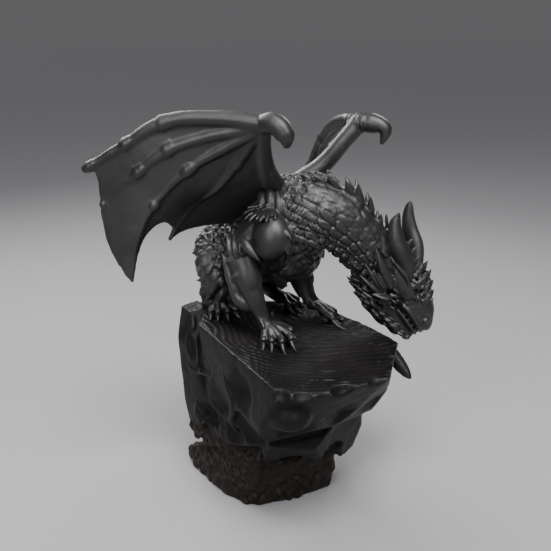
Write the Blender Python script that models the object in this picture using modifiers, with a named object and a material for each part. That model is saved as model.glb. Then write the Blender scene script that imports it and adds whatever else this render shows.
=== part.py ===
"""A printed dragon perched on a leaning rock, in metres, +Z up.

The dragon looks along -Y, its right side is -X, and the origin is on the rock's flat underside.
The figure is written as a skeleton in shares of its own height: one unit is FIGURE_HEIGHT / 85,
and heights count from the rock top below the belly.
"""

from math import cos, pi, radians, sin

import bmesh
import bpy
import numpy as np
from mathutils import Matrix, Vector

# Driving dimensions
FIGURE_HEIGHT = 0.085        # rock top to the highest knuckle of the raised wings
ROCK_HEIGHT = 0.0723         # underside to the rock top below the belly
ROCK_LENGTH = 0.100          # along the dragon
ROCK_WIDTH = 0.067           # across the dragon
RISE_TO_TAIL = 0.055         # slope of the rock top along +Y
RISE_TO_LEFT = 0.030         # slope of the rock top along +X
CLEARANCE = 0.0003           # between the figure's feet and the rock
MEMBRANE = 0.0017            # thickness of the wing skin
GRAIN = 0.0006               # finest detail kept when the figure's forms are fused
FIGURE_TRIANGLES = 8000
FACE_SHARES = (1.0, 0.99, 0.98, 0.97, 0.96)
HEAD_PITCH = 63              # degrees that the head points below level

UNIT = FIGURE_HEIGHT / 85
UP = Vector((0, 0, 1))
LEFT_SIDE = 1
RIGHT_SIDE = -1


def clear_scene():
    for item in list(bpy.data.objects):
        bpy.data.objects.remove(item)


def new_collection(name):
    collection = bpy.data.collections.new(name)
    bpy.context.scene.collection.children.link(collection)
    return collection


def ground(x, y):
    """Height of the rock top, in skeleton units, below a point of the skeleton."""
    return RISE_TO_TAIL * y + RISE_TO_LEFT * x


def place(point):
    """Skeleton units to metres."""
    return Vector(point) * UNIT + UP * ROCK_HEIGHT


def on_ground(x, y, lift):
    return Vector((x, y, ground(x, y) + lift))


def mirrored(points):
    """Points of the right side moved to the left side."""
    return [Vector((-p[0], p[1], p[2])) for p in points]


# Shapes that the figure is fused from, each one closed mesh

def mesh_of(item):
    """The evaluated mesh of an object that is then removed."""
    bpy.context.scene.collection.objects.link(item)
    evaluated = item.evaluated_get(bpy.context.evaluated_depsgraph_get())
    mesh = bpy.data.meshes.new_from_object(evaluated)
    bpy.data.objects.remove(item)
    return mesh


def tube(clay, points, radii):
    """A bone, horn or tail: a smooth curve with a radius at each point."""
    curve = bpy.data.curves.new("tube", "CURVE")
    curve.dimensions = "3D"
    curve.bevel_depth = 1.0
    curve.bevel_resolution = 3
    curve.resolution_u = 6
    curve.use_fill_caps = True
    spline = curve.splines.new("BEZIER")
    spline.bezier_points.add(len(points) - 1)
    for knot, point, radius in zip(spline.bezier_points, points, radii):
        knot.co = place(point)
        knot.radius = radius * UNIT
        knot.handle_left_type = "AUTO"
        knot.handle_right_type = "AUTO"
    mesh = mesh_of(bpy.data.objects.new("tube", curve))
    clay.from_mesh(mesh)
    bpy.data.meshes.remove(mesh)


def muscle(clay, centre, radii, turn=(0, 0, 0)):
    """An ellipsoid; turn is in degrees about X, Y and Z."""
    spin = Matrix.Rotation(radians(turn[2]), 4, "Z") @ Matrix.Rotation(radians(turn[1]), 4, "Y")
    spin = spin @ Matrix.Rotation(radians(turn[0]), 4, "X")
    scale = Matrix.Diagonal((*[r * UNIT for r in radii], 1))
    matrix = Matrix.Translation(place(centre)) @ spin @ scale
    bmesh.ops.create_uvsphere(clay, u_segments=20, v_segments=12, radius=1, matrix=matrix)


def skin(clay, rings):
    """A closed loft through rings of points in skeleton units."""
    loops = [[clay.verts.new(place(p)) for p in ring] for ring in rings]
    count = len(loops[0])
    for near, far in zip(loops, loops[1:]):
        for i in range(count):
            j = (i + 1) % count
            clay.faces.new((near[i], near[j], far[j], far[i]))
    clay.faces.new(loops[0][::-1])
    clay.faces.new(loops[-1])


def smooth_rows(rows, steps):
    """Rows of numbers interpolated by a Catmull-Rom curve, steps to each span."""
    rows = np.array(rows, float)
    padded = np.vstack([2 * rows[0] - rows[1], rows, 2 * rows[-1] - rows[-2]])
    result = []
    for a, b, c, d in zip(padded, padded[1:], padded[2:], padded[3:]):
        for t in np.arange(steps) / steps:
            bend = (2 * a - 5 * b + 4 * c - d) * t * t + (3 * b - a - 3 * c + d) * t ** 3
            result.append(0.5 * (2 * b + (c - a) * t + bend))
    result.append(rows[-1])
    return np.array(result)


def frames(centres):
    """Along, across and up directions at each centre of a path."""
    found = []
    last = len(centres) - 1
    for i in range(last + 1):
        step = Vector(centres[min(i + 1, last)]) - Vector(centres[max(i - 1, 0)])
        along = step.normalized()
        across = along.cross(UP).normalized()
        found.append((along, across, across.cross(along)))
    return found


def body_loft(clay, stations, sides=24, steps=5):
    """A loft through stations of x, y, z, half width and half height, square to its path."""
    rows = smooth_rows(stations, steps)
    rings = []
    for row, (_, across, up) in zip(rows, frames(rows[:, :3])):
        centre = Vector(row[:3])
        turns = [2 * pi * i / sides for i in range(sides)]
        rings.append([centre + across * row[3] * cos(a) + up * row[4] * sin(a) for a in turns])
    skin(clay, rings)


POINTED = [(0.0, 0.80), (0.25, 1.0), (0.55, 0.72), (0.8, 0.4), (1.0, 0.10)]
ROUNDED = [(0.0, 0.7), (0.25, 1.0), (0.6, 0.92), (0.85, 0.62), (1.0, 0.2)]


def blade(clay, base, tip, width, thickness, flat, bow=0.0, shape=POINTED):
    """A scale, spike or claw from base to tip. Its flat side faces the direction flat, bow lifts
    its middle that way, and shape gives its width along it."""
    base = Vector(base)
    tip = Vector(tip)
    along = (tip - base).normalized()
    across = along.cross(Vector(flat)).normalized()
    facing = across.cross(along)
    rings = []
    for share, swell in shape:
        centre = base.lerp(tip, share) + facing * bow * 4 * share * (1 - share)
        ring = []
        for i in range(8):
            turn = 2 * pi * i / 8
            side = across * width * swell * cos(turn)
            ring.append(centre + side + facing * thickness * swell * sin(turn))
        rings.append(ring)
    skin(clay, rings)


def web(clay, rib_a, rib_b, scallop, billow, reach=(1.0, 1.0)):
    """Wing skin between two ribs, up to a share of each: its free edge is hollowed by scallop and
    its middle blown out by billow."""
    rib_a = smooth_rows(rib_a, 6)
    rib_b = smooth_rows(rib_b, 6)
    rows = 20
    columns = 10
    mesh = bpy.data.meshes.new("web")
    sheet = bmesh.new()
    grid = []
    for j in range(columns + 1):
        t = j / columns
        hollow = 4 * t * (1 - t)
        line = []
        for i in range(rows + 1):
            s = (1 - scallop * hollow) * i / rows
            point = at_share(rib_a, s * reach[0]).lerp(at_share(rib_b, s * reach[1]), t)
            point += Vector(billow) * hollow * min(1.0, 1.5 * s)
            line.append(sheet.verts.new(place(point)))
        grid.append(line)
    for near, far in zip(grid, grid[1:]):
        for i in range(rows):
            sheet.faces.new((near[i], near[i + 1], far[i + 1], far[i]))
    sheet.to_mesh(mesh)
    sheet.free()
    item = bpy.data.objects.new("web", mesh)
    shell = item.modifiers.new("thickness", "SOLIDIFY")
    shell.thickness = MEMBRANE
    shell.offset = 0
    shell.use_even_offset = False
    thick = mesh_of(item)
    clay.from_mesh(thick)
    bpy.data.meshes.remove(thick)


def at_share(rows, share):
    """The point at a share of a polyline's points."""
    place_in_rows = share * (len(rows) - 1)
    index = min(int(place_in_rows), len(rows) - 2)
    return Vector(rows[index]).lerp(Vector(rows[index + 1]), place_in_rows - index)


# The figure

TORSO = [            # x, y, z, half width, half height
    (0, 39.5, 13, 4.5, 5.0),
    (0, 35, 16, 7.0, 8.0),
    (0, 28, 20.5, 10.0, 11.5),
    (0, 19, 25, 12.0, 14.5),
    (0, 9, 31, 11.5, 14.0),
    (0, -3, 36, 12.5, 16.5),
    (0, -13, 42, 13.0, 18.5),
    (2, -21, 45, 12.0, 15.5),
    (6.5, -27, 44.5, 10.4, 12.5),
    (11, -32, 40, 9.0, 10.8),
    (16, -36.5, 33, 7.6, 9.8),
    (21, -40.5, 26.5, 6.6, 9.2),
    (25, -43.5, 21, 6.0, 8.6),
]
CHEST = (0, -14, 33.5, 11.0, 10.0, 13.0)    # x, y, z and radii
BELLY = (2, -2, 24.5, 9.0, 12.0, 9.2)

FINGER_1 = [(-24, -22, 81), (-33.4, -7.6, 82.6), (-44.7, 6.5, 80.8), (-52.7, 17.4, 73.4),
            (-61, 28.4, 65.3)]
FINGER_2 = [(-24, -21, 80), (-36, -3.6, 75.8), (-43.7, 5.5, 71.6), (-49.9, 14.6, 63.7),
            (-57.5, 26.3, 51.6), (-56.8, 27.0, 43.5), (-55.6, 26.0, 36.0), (-52.5, 22.8, 31.0)]
FINGER_3 = [(-24, -20, 79), (-31.2, -8.4, 72.1), (-38.4, 1.6, 64.5), (-46, 12, 51.7),
            (-49.9, 17.3, 39.7), (-51.5, 20.4, 22.3)]
FINGER_4 = [(-24, -19, 78), (-25.2, -8.7, 66.3), (-26.8, -0.1, 57.2), (-30, 8.8, 50.6),
            (-33.6, 15.3, 41.8), (-35.2, 18.2, 35.8)]
ARM = [(-6.6, -9.4, 55.5), (-14.8, -13.4, 64), (-20.4, -17.6, 73), (-23.5, -20.5, 80.3)]
ARM_RADII = [4.4, 3.4, 2.9, 3.4]
FLANK = [(-23.5, -20.5, 80), (-19.2, -18.0, 71.5), (-11.5, -11.5, 58.5), (-7, 2, 46.5), (-8, 14, 39)]
THUMB = [(-24, -20.5, 80.8), (-23.4, -26.0, 81.4), (-22.2, -30.0, 77.6), (-21.8, -30.4, 73.6)]
THUMB_RADII = [3.5, 3.8, 3.4, 1.1]
FAR_ARM = [(6, -10, 56), (13.5, -15.5, 63), (19.5, -20.5, 72), (24.4, -23.2, 78.0)]
FAR_FLANK = [(24.4, -23, 77.7), (17, -19.5, 69), (9, -12, 58), (7, 2, 46.5), (8, 14, 39)]
FAR_THUMB = [(24.4, -23.0, 78.0), (26.2, -27.8, 78.2), (27.8, -32.8, 76.0), (26.6, -32.6, 70.6)]
FAR_ARM_RADII = [4.4, 3.8, 3.5, 3.9]
FAR_THUMB_RADII = [3.8, 4.0, 2.8, 0.8]
FAR_TURN = 12            # degrees that the left fingers are folded back from the right ones' mirror
FAR_DROOP = 0.0104       # their fall for each unit toward the tail, squared
FAR_FAN = 0.62           # how far they are spread, as a share of the right ones


def folded(finger):
    """A finger of the left wing: the right one's mirror image about the left wrist, turned back,
    drooped and closed."""
    turn = Matrix.Rotation(radians(FAR_TURN), 3, "Z")
    moved = []
    for point in mirrored(finger):
        reach = turn @ (point - mirrored(ARM)[-1])
        reach.z = FAR_FAN * reach.z - FAR_DROOP * max(0.0, reach.y) ** 2
        moved.append(Vector(FAR_ARM[-1]) + reach)
    return moved


def wing(clay, side):
    """One raised, folded wing: arm, thumb claw, four fingers and the skin between them."""
    fingers = [FINGER_1, FINGER_2, FINGER_3, FINGER_4]
    arm, flank, thumb = ARM, FLANK, THUMB
    arm_radii, thumb_radii = ARM_RADII, THUMB_RADII
    if side == LEFT_SIDE:
        fingers = [folded(f) for f in fingers]
        arm, flank, thumb = FAR_ARM, FAR_FLANK, FAR_THUMB
        arm_radii, thumb_radii = FAR_ARM_RADII, FAR_THUMB_RADII
    first, second, third, fourth = fingers
    tube(clay, arm, arm_radii)
    muscle(clay, arm[-1], (3.4, 4.4, 3.2))
    tube(clay, thumb, thumb_radii)
    tube(clay, first, [3.2, 3.0, 2.8, 2.2, 1.9])
    tube(clay, second, [2.4, 2.3, 2.4, 2.0, 1.2, 1.1, 1.0, 0.8])
    tube(clay, third, [2.4, 2.2, 2.0, 1.2, 1.5, 0.7])
    tube(clay, fourth, [2.2, 2.4, 1.8, 1.3, 1.2, 0.9])
    knobs = [(first, 2, 3.2), (first, 3, 2.7), (first, 4, 2.3), (second, 2, 2.9),
             (second, 3, 2.7), (second, 4, 1.7), (third, 2, 2.7), (third, 3, 2.0), (fourth, 1, 2.8)]
    for finger, index, radius in knobs:
        muscle(clay, finger[index], (radius, radius, radius))
    blown = (side * 1.5, 1.5, -1.0)
    web(clay, first, second, 0.05, blown, (0.97, 0.58))
    web(clay, second, third, 0.03, blown)
    web(clay, third, fourth, 0.21, blown, (0.97, 0.84))
    web(clay, fourth, flank, 0.08, (side * 2.5, 2.0, 0.0), (0.97, 1.0))


def foot(clay, ankle, toes, claw=1.15):
    """Toes from the ankle over a knuckle to a claw tip on the ground; each toe is a knuckle's
    x, y and lift and a tip's x and y."""
    for knuckle_x, knuckle_y, lift, tip_x, tip_y in toes:
        knuckle = on_ground(knuckle_x, knuckle_y, lift)
        tip = on_ground(tip_x, tip_y, 0.2)
        tube(clay, [ankle, Vector(ankle).lerp(knuckle, 0.6) + UP * 0.8, knuckle], [2.1, 1.6, 1.5])
        muscle(clay, knuckle, (1.65, 1.65, 1.65))
        blade(clay, knuckle - UP * 0.4, tip, claw, claw, UP, 1.1)
        pad = on_ground(knuckle_x, knuckle_y, 1.2)
        muscle(clay, pad, (1.7, 1.7, 2.0))


def forelegs(clay):
    muscle(clay, (-14.5, -15.5, 39.5), (7.0, 8.0, 8.8), (0, 10, 0))
    tube(clay, [(-9, -10, 44), (-15, -8, 39), (-19, -2, 33)], [8, 7, 5.4])
    tube(clay, [(-19, -1.5, 33.5), (-18.7, -5, 25), (-17.8, -9.5, 16), (-16.5, -12.5, 8),
                (-16, -14.5, 4)], [5.2, 5.8, 4.2, 2.9, 3.0])
    foot(clay, (-16, -14, 5), [(-19.5, -16.5, 3.2, -23, -19.5), (-18, -19.0, 3.6, -22.2, -23.6),
                               (-16, -21.5, 3.8, -19.6, -28.4), (-11.8, -21.8, 3.8, -14.5, -29),
                               (-7, -17.0, 3.0, -5.8, -21.2)])
    tube(clay, [(9.5, -10, 38), (12.5, -6.5, 27), (14, -4.5, 19), (14.5, -6.5, 11), (14.6, -8.2, 5)],
         [8, 6.2, 4.4, 3.2, 2.8])
    muscle(clay, (11, -10.5, 36), (6.5, 8.0, 9.5))
    tube(clay, [(9, -6, 27), (11.5, -3, 19), (12.8, -4, 13), (13.8, -6, 8)], [5.0, 4.5, 3.2, 2.4])
    foot(clay, (14.6, -8.5, 4.5), [(19.5, -15.5, 3.2, 20.7, -22.4), (17.2, -16.5, 3.4, 16.8, -24),
                                   (14.0, -18.0, 3.2, 14.0, -29.0), (19.8, -10.0, 2.8, 24, -12)])


FOREARM_BLADES = [   # base, tip, half width and which way the flat side faces
    ((-21.0, -3.0, 16.9), (-23.2, 2.0, 32.8), 1.9, (-1, -0.2, 0.1)),
    ((-20.6, -5.0, 11.5), (-23.3, -0.7, 26.3), 2.2, (-1, -0.2, 0.1)),
    ((-19.6, -8.6, 6.6), (-22.8, -2.0, 19.6), 2.2, (-1, -0.2, 0.1)),
    ((-18.6, -1.6, 15.5), (-20.6, 4.0, 27.0), 1.8, (-0.7, 0.6, 0.1)),
    ((-18.4, -5.0, 9.5), (-19.6, 0.6, 19.5), 1.8, (-0.7, 0.6, 0.1)),
    ((-22.3, -3.1, 30.5), (-20.9, 1.1, 39.4), 1.3, (-1, -0.2, 0.1)),
    ((-21.7, -5.2, 30.8), (-20.6, -2.0, 39.6), 1.3, (-1, -0.2, 0.1)),
    ((-20.8, -7.5, 31.8), (-20.4, -5.0, 38.2), 1.1, (-1, -0.2, 0.1)),
    ((-22.4, -8.8, 38.4), (-20.3, -16.0, 31.0), 2.0, (-1, -0.5, 0.2)),
    ((15.5, 0.6, 22.0), (16.1, 3.6, 28.5), 1.4, (0.8, 0.8, 0.2)),
    ((15.8, -0.8, 17.0), (16.4, 2.2, 22.8), 1.3, (0.8, 0.8, 0.2)),
    ((16.1, -2.9, 10.0), (16.7, 0.1, 14.6), 1.0, (0.8, 0.8, 0.2)),
]
SHOULDER_BLADES = [  # base, tip and half width, from the wing's root down over the shoulder
    ((-12.5, -8.7, 54.7), (-16.0, -12.2, 47.6), 2.0),
    ((-11.2, -11.5, 55.7), (-14.7, -15.0, 48.6), 1.9),
    ((-10.1, -14.0, 55.1), (-12.9, -18.3, 47.3), 1.9),
    ((-8.7, -16.7, 53.5), (-11.3, -19.8, 46.6), 1.7),
    ((-7.7, -19.2, 51.5), (-9.8, -21.3, 45.1), 1.5),
]


def limb_blades(clay):
    """Long overlapping blades down the forearms and broad ones over the shoulders."""
    for base, tip, width, flat in FOREARM_BLADES:
        blade(clay, base, tip, width, 1.2, flat, 0.8)
    for base, tip, width in SHOULDER_BLADES:
        blade(clay, base, tip, width * 1.1, 1.7, (-0.66, -0.68, 0.29), 0.6, ROUNDED)
        near, far = mirrored([Vector(base), Vector(tip)])
        blade(clay, near, far, width * 1.1, 1.7, (0.66, -0.68, 0.29), 0.6, ROUNDED)


def hindlegs(clay):
    tube(clay, [(-6, 23, 28.5), (-11, 20, 26), (-15.5, 15, 19.5)], [9.0, 7.6, 5.4])
    tube(clay, [(-15.3, 14.5, 18.5), (-14.5, 18.5, 13), (-12.5, 23.5, 8.5)], [5.0, 5.2, 3.2])
    muscle(clay, (-11.5, 15.0, 14.0), (5.0, 5.5, 8.0))
    muscle(clay, (-16.0, 14.0, 18.0), (4.0, 4.6, 5.0))
    tube(clay, [(-12.5, 24, 8), (-13.4, 20, 5.5), (-13.5, 16.5, 4)], [3.2, 3.0, 2.8])
    foot(clay, (-13.5, 17.5, 4.5), [(-16.2, 17.5, 3.2, -19.6, 14.4), (-15.4, 14.0, 3.6, -18.4, 11.2),
                                    (-12.4, 12.0, 3.8, -14.6, 8.6), (-8.6, 12.2, 3.2, -8.4, 8.0)])
    tube(clay, [(6, 24, 28.5), (11.5, 19, 26), (15.5, 11.5, 18.5)], [9.0, 8.0, 5.2])
    tube(clay, [(15.5, 10.5, 17.5), (15.5, 16, 12), (13.5, 20, 8)], [4.6, 4.0, 3.0])
    tube(clay, [(13.5, 20.5, 7.5), (13.5, 12, 5.5), (13, 6, 4.2)], [3.2, 3.4, 3.0])
    foot(clay, (13, 6.5, 4.5), [(11.0, 1.5, 3.2, 11.0, -4.5), (13.8, 1.0, 3.4, 14.2, -5.8),
                                (17.2, 2.8, 3.2, 19.4, -2.2)])


def tail(clay):
    """Down behind the rock, along its left flank, to a leaf-shaped tip beside its front."""
    path = [(0, 34, 15), (5, 41, 7), (14, 46.5, -6), (26, 46, -15), (36, 37.5, -19), (43, 21, -20),
            (46, 2, -18), (46, -16, -17), (45.8, -27, -18)]
    tube(clay, path, [6.4, 5.4, 4.7, 4.2, 3.8, 3.3, 2.8, 2.3, 1.8])
    blade(clay, (45.6, -22, -16.5), (45.9, -38.2, -29.2), 2.7, 1.7, (-0.68, -0.55, 0.48), 0.6, ROUNDED)
    for k in range(9):
        share = 0.04 + 0.088 * k
        base = at_share(smooth_rows(path, 6), share)
        ahead = at_share(smooth_rows(path, 6), share + 0.05)
        along = (ahead - base).normalized()
        out = (Vector((0.55, 0.35, 0.75)) if share > 0.2 else Vector((0.1, 1, 0.5))).normalized()
        size = 1 - 0.5 * share
        root = base + out * 3.6 * size
        blade(clay, root, root + (out * 4.0 + along * 3.4) * size, 1.7 * size, 1.1, along.cross(out))


HEAD_CENTRE = Vector((26, -44.5, 19))
HEAD_HEADING = Vector((0.39, -0.92, 0)).normalized()
HEAD_LEFT = Vector((-HEAD_HEADING.y, HEAD_HEADING.x, 0))
HEAD_ALONG = HEAD_HEADING * cos(radians(HEAD_PITCH)) - UP * sin(radians(HEAD_PITCH))
HEAD_TOP = HEAD_HEADING * sin(radians(HEAD_PITCH)) + UP * cos(radians(HEAD_PITCH))
SKULL = [            # along, height of centre, half width, half height
    (-14, -3.0, 5.6, 7.4),
    (-8, -1.5, 5.9, 8.2),
    (-2, 0.0, 6.3, 8.2),
    (4, 1.2, 6.2, 7.2),
    (9, 2.2, 5.3, 5.6),
    (12.5, 2.8, 4.7, 4.5),
    (16, 2.6, 4.0, 3.7),
    (18.4, 1.8, 3.0, 2.8),
    (19.6, 1.0, 1.7, 1.7),
]
JAW = [              # along, height of centre, half width, half height
    (-13, -8.0, 6.0, 6.4),
    (-4, -8.6, 6.6, 6.4),
    (4, -8.4, 6.0, 5.6),
    (11, -7.0, 4.9, 4.5),
    (16, -5.8, 3.9, 3.5),
    (19.4, -4.8, 2.8, 2.5),
    (20.6, -4.4, 1.4, 1.4),
]
HORN = [(-2.0, 4.4, 5.4), (-9.9, 7.2, 7.7), (-16.6, 8.4, 8.2), (-21.6, 8.4, 9.7), (-25.4, 8.0, 12.0),
        (-27.0, 7.4, 13.6)]
HORN_RADII = [3.0, 3.6, 3.2, 2.5, 1.5, 0.3]
FAR_TILT = 0.16      # how much higher, for each unit from the middle, the left side's details lie
FRILL = [            # base along, left, top; tip along, left, top; half width
    (-12.6, 7.2, 3.0, -22.5, 8.6, 1.8, 0.9),
    (-1.5, 7.4, -1.1, -18.0, 11.6, 1.7, 2.4),
    (-2.6, 8.4, -2.5, -12.0, 12.2, -2.4, 0.9),
    (-0.9, 7.6, -3.7, -14.8, 12.4, -4.2, 1.7),
    (-0.5, 7.4, -4.8, -11.4, 12.2, -8.2, 1.6),
    (2.2, 7.2, -2.8, -3.0, 10.8, -8.0, 1.2),
    (0.6, 7.0, -7.6, -5.0, 10.4, -11.0, 1.3),
]
BROW_PLATES = [      # base along, left, top; tip along, left, top; half width
    (-0.6, 3.4, 6.8, -4.1, 3.8, 12.2, 1.3),
    (3.0, 3.0, 7.2, -0.6, 3.6, 12.0, 1.4),
    (6.6, 2.6, 6.8, 3.2, 3.2, 11.4, 1.3),
    (9.8, 2.2, 6.2, 6.8, 2.6, 10.2, 1.2),
    (-3.0, 5.6, 5.6, -7.0, 6.6, 9.4, 1.0),
]
CHIN_LINE = [(-10.8, -15.4), (-7.0, -16.1), (-3.2, -16.2), (0.6, -15.2), (4.4, -13.6), (8.0, -12.4),
             (11.4, -10.9), (14.4, -9.5), (17.0, -8.4), (19.2, -7.2)]


def head_point(along, left, top):
    return HEAD_CENTRE + HEAD_ALONG * along + HEAD_LEFT * left + HEAD_TOP * top


def broad_horn(clay, points, radii, flat):
    """A smooth horn, broader across than it is thick."""
    fine = smooth_rows([(*p, r) for p, r in zip(points, radii)], 5)
    rings = []
    for row, (along, _, _) in zip(fine, frames(fine[:, :3])):
        across = along.cross(Vector(flat)).normalized()
        facing = across.cross(along)
        turns = [2 * pi * i / 12 for i in range(12)]
        rings.append([Vector(row[:3]) + (across * cos(a) + facing * 0.85 * sin(a)) * row[3] for a in turns])
    skin(clay, rings)


def head_details(clay, side):
    def at(f, l, u):
        return head_point(f, side * l, u + (FAR_TILT * l if side == LEFT_SIDE else 0))

    outward = HEAD_LEFT * side
    broad_horn(clay, [at(*p) for p in HORN], HORN_RADII, outward * 0.9 + HEAD_TOP * 0.3)
    for f0, l0, u0, f1, l1, u1, width in FRILL:
        blade(clay, at(f0, l0 + 0.8, u0), at(f1, l1 + 0.8, u1), width, 1.35, outward, 0.9)
    for f0, l0, u0, f1, l1, u1, width in BROW_PLATES:
        blade(clay, at(f0, l0, u0), at(f1, l1, u1), width, 1.0, outward, 0.3)
    blade(clay, at(5.5, 5.6, 2.2), at(-11.0, 8.4, 3.4), 3.4, 1.4, outward, 0.9)
    muscle(clay, at(2.0, 5.0, 8.0), (4.2, 1.6, 1.4), (0, HEAD_PITCH, 0))
    muscle(clay, at(16.2, 3.0, 4.2), (1.6, 1.4, 1.4))
    tube(clay, [at(7.0, 6.2, -0.6), at(13.6, 4.9, 1.0), at(19.0, 2.4, 0.8)], [0.8, 1.15, 0.9])
    for row in range(3):
        for k in range(7 - row):
            f = -9.5 + 4.0 * k + 2.0 * (row % 2)
            reach, middle, depth = [np.interp(f, [s[0] for s in JAW], [s[c] for s in JAW]) for c in (2, 1, 3)]
            angle = radians(-14 - 26 * row)
            base = at(f + 1.7, reach * cos(angle), middle + depth * sin(angle) + 0.4)
            tip = at(f - 1.9, (reach + 1.4) * cos(angle), middle + (depth + 1.6) * sin(angle) - 1.0)
            blade(clay, base, tip, 1.8, 1.2, outward * cos(angle) + HEAD_TOP * sin(angle), 0.5, ROUNDED)
    for f, u in CHIN_LINE:
        blade(clay, at(f + 1.4, 1.8, u + 2.6), at(f - 1.2, 2.2, u + 0.4), 1.9, 1.5, -HEAD_TOP, 0.4, ROUNDED)


def head(clay):
    body_loft(clay, [(*head_point(f, 0, u), w, h) for f, u, w, h in SKULL])
    body_loft(clay, [(*head_point(f, 0, u), w, h) for f, u, w, h in JAW])
    for side in (LEFT_SIDE, RIGHT_SIDE):
        head_details(clay, side)
    tube(clay, [head_point(7, 0, 5.8), head_point(12.5, 0, 5.2), head_point(16.4, 0, 3.8),
                head_point(18.8, 0, 1.4), head_point(19.8, 0, -0.6)], [3.0, 2.8, 2.3, 1.5, 0.6])
    tube(clay, [head_point(4, 0, -1.6), head_point(12, 0, -1.4), head_point(18.6, 0, -1.2)], [4.6, 3.4, 1.8])
    for k in range(8):
        f = -12 + 3.4 * k
        top = 8.0 - 0.012 * max(0.0, f) ** 2
        blade(clay, head_point(f, 0, top - 0.8), head_point(f - 2.4, 0, top + 3.6), 1.5, 1.5, HEAD_LEFT)


NECK_SPIKES = [      # share of the neck's path, length, half width, half thickness
    (0.13, 4.4, 1.9, 1.3),
    (0.20, 6.0, 2.2, 1.6),
    (0.26, 6.6, 2.2, 1.5),
    (0.315, 8.2, 1.9, 1.2),
    (0.375, 8.4, 1.9, 1.1),
    (0.44, 9.6, 2.0, 1.1),
    (0.525, 8.6, 1.9, 1.0),
    (0.60, 6.4, 1.3, 0.9),
]
CROWN_SPIKES = [     # thin spikes behind the horns: base along, left, top; tip; half width
    (-22.0, 1.0, 4.6, -32.2, 1.0, 9.4, 0.9),
    (-21.5, -1.2, 4.4, -28.6, -1.6, 7.4, 0.8),
]


def ridge(clay):
    """Paired back-leaning blades along the neck, thin spikes behind the horns and blunt lumps over
    the withers and rump."""
    rows = smooth_rows(TORSO[6:], 12)
    directions = frames(rows[:, :3])
    for share, length, width, thickness in NECK_SPIKES:
        index = int(share * (len(rows) - 1))
        row = rows[index]
        along, across, up = directions[index]
        for side in (LEFT_SIDE, RIGHT_SIDE):
            angle = radians(90 - 17 * side)
            out = across * cos(angle) + up * sin(angle)
            base = Vector(row[:3]) + across * cos(angle) * row[3] + up * sin(angle) * row[4] - out * 1.6
            tip = base + (out * 0.72 - along * 0.70 + across * 0.10 * side) * length
            blade(clay, base, tip, width, thickness * 1.1, out.cross(along))
    for f0, l0, u0, f1, l1, u1, width in CROWN_SPIKES:
        blade(clay, head_point(f0, l0, u0), head_point(f1, l1, u1), width, 0.9, HEAD_LEFT)
    rows = smooth_rows(TORSO, 5)
    directions = frames(rows[:, :3])
    for k in range(11):
        row = rows[3 + 2 * k]
        along, across, up = directions[3 + 2 * k]
        for side in (LEFT_SIDE, RIGHT_SIDE):
            base = Vector(row[:3]) + up * (row[4] - 1.2) + across * side * 2.6
            blade(clay, base, base + up * 3.4 - along * 3.0, 2.0, 1.7, across, 0, ROUNDED)


def figure_clay():
    clay = bmesh.new()
    body_loft(clay, TORSO)
    muscle(clay, CHEST[:3], CHEST[3:])
    muscle(clay, BELLY[:3], BELLY[3:])
    head(clay)
    ridge(clay)
    forelegs(clay)
    limb_blades(clay)
    hindlegs(clay)
    tail(clay)
    for side in (LEFT_SIDE, RIGHT_SIDE):
        wing(clay, side)
    bmesh.ops.remove_doubles(clay, verts=clay.verts, dist=1e-7)
    bmesh.ops.recalc_face_normals(clay, faces=clay.faces)
    return clay


def plastic(name, colour, roughness):
    material = bpy.data.materials.new(name)
    material.use_nodes = True
    shader = material.node_tree.nodes["Principled BSDF"]
    shader.inputs["Base Color"].default_value = (*colour, 1)
    shader.inputs["Roughness"].default_value = roughness
    shader.inputs["Metallic"].default_value = 0.0
    return material


def add_object(name, mesh, collection):
    item = bpy.data.objects.new(name, mesh)
    collection.objects.link(item)
    return item


def keep_largest(item):
    """Drops the crumbs that fusing and cutting leave beside the one body."""
    shape = bmesh.new()
    shape.from_mesh(item.data)
    seen = set()
    bodies = []
    for first in shape.verts:
        if first in seen:
            continue
        body = [first]
        seen.add(first)
        for vertex in body:
            for edge in vertex.link_edges:
                other = edge.other_vert(vertex)
                if other not in seen:
                    seen.add(other)
                    body.append(other)
        bodies.append(body)
    bodies.sort(key=len)
    for body in bodies[:-1]:
        bmesh.ops.delete(shape, geom=body, context="VERTS")
    shape.to_mesh(item.data)
    shape.free()


def apply_modifiers(item):
    """Replaces an object's mesh by its evaluated mesh."""
    evaluated = item.evaluated_get(bpy.context.evaluated_depsgraph_get())
    mesh = bpy.data.meshes.new_from_object(evaluated)
    item.modifiers.clear()
    item.data = mesh


def fused_figure(collection):
    """The figure's forms fused into one skin."""
    clay = figure_clay()
    mesh = bpy.data.meshes.new("dragon")
    clay.to_mesh(mesh)
    clay.free()
    item = add_object("dragon", mesh, collection)
    fuse = item.modifiers.new("fuse", "REMESH")
    fuse.mode = "VOXEL"
    fuse.voxel_size = GRAIN
    soften = item.modifiers.new("soften", "SMOOTH")
    soften.factor = 0.5
    soften.iterations = 2
    apply_modifiers(item)
    keep_largest(item)
    return item


def is_closed(item):
    """Whether every edge joins just two faces."""
    shape = bmesh.new()
    shape.from_mesh(item.data)
    closed = all(len(edge.link_faces) == 2 for edge in shape.edges)
    shape.free()
    return closed


# The rock, in shares of its own size: 67 wide, 100 long and 72.3 high

def rock_point(x, y, z):
    return Vector((x * ROCK_WIDTH / 67, y * ROCK_LENGTH / 100, z * ROCK_HEIGHT / 72.3))


def rock_top(x, y, lift=0.0):
    """A point on the sloping top of the rock."""
    point = rock_point(x, y, 72.3 + lift)
    return point + UP * (RISE_TO_TAIL * point.y + RISE_TO_LEFT * point.x)


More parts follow.
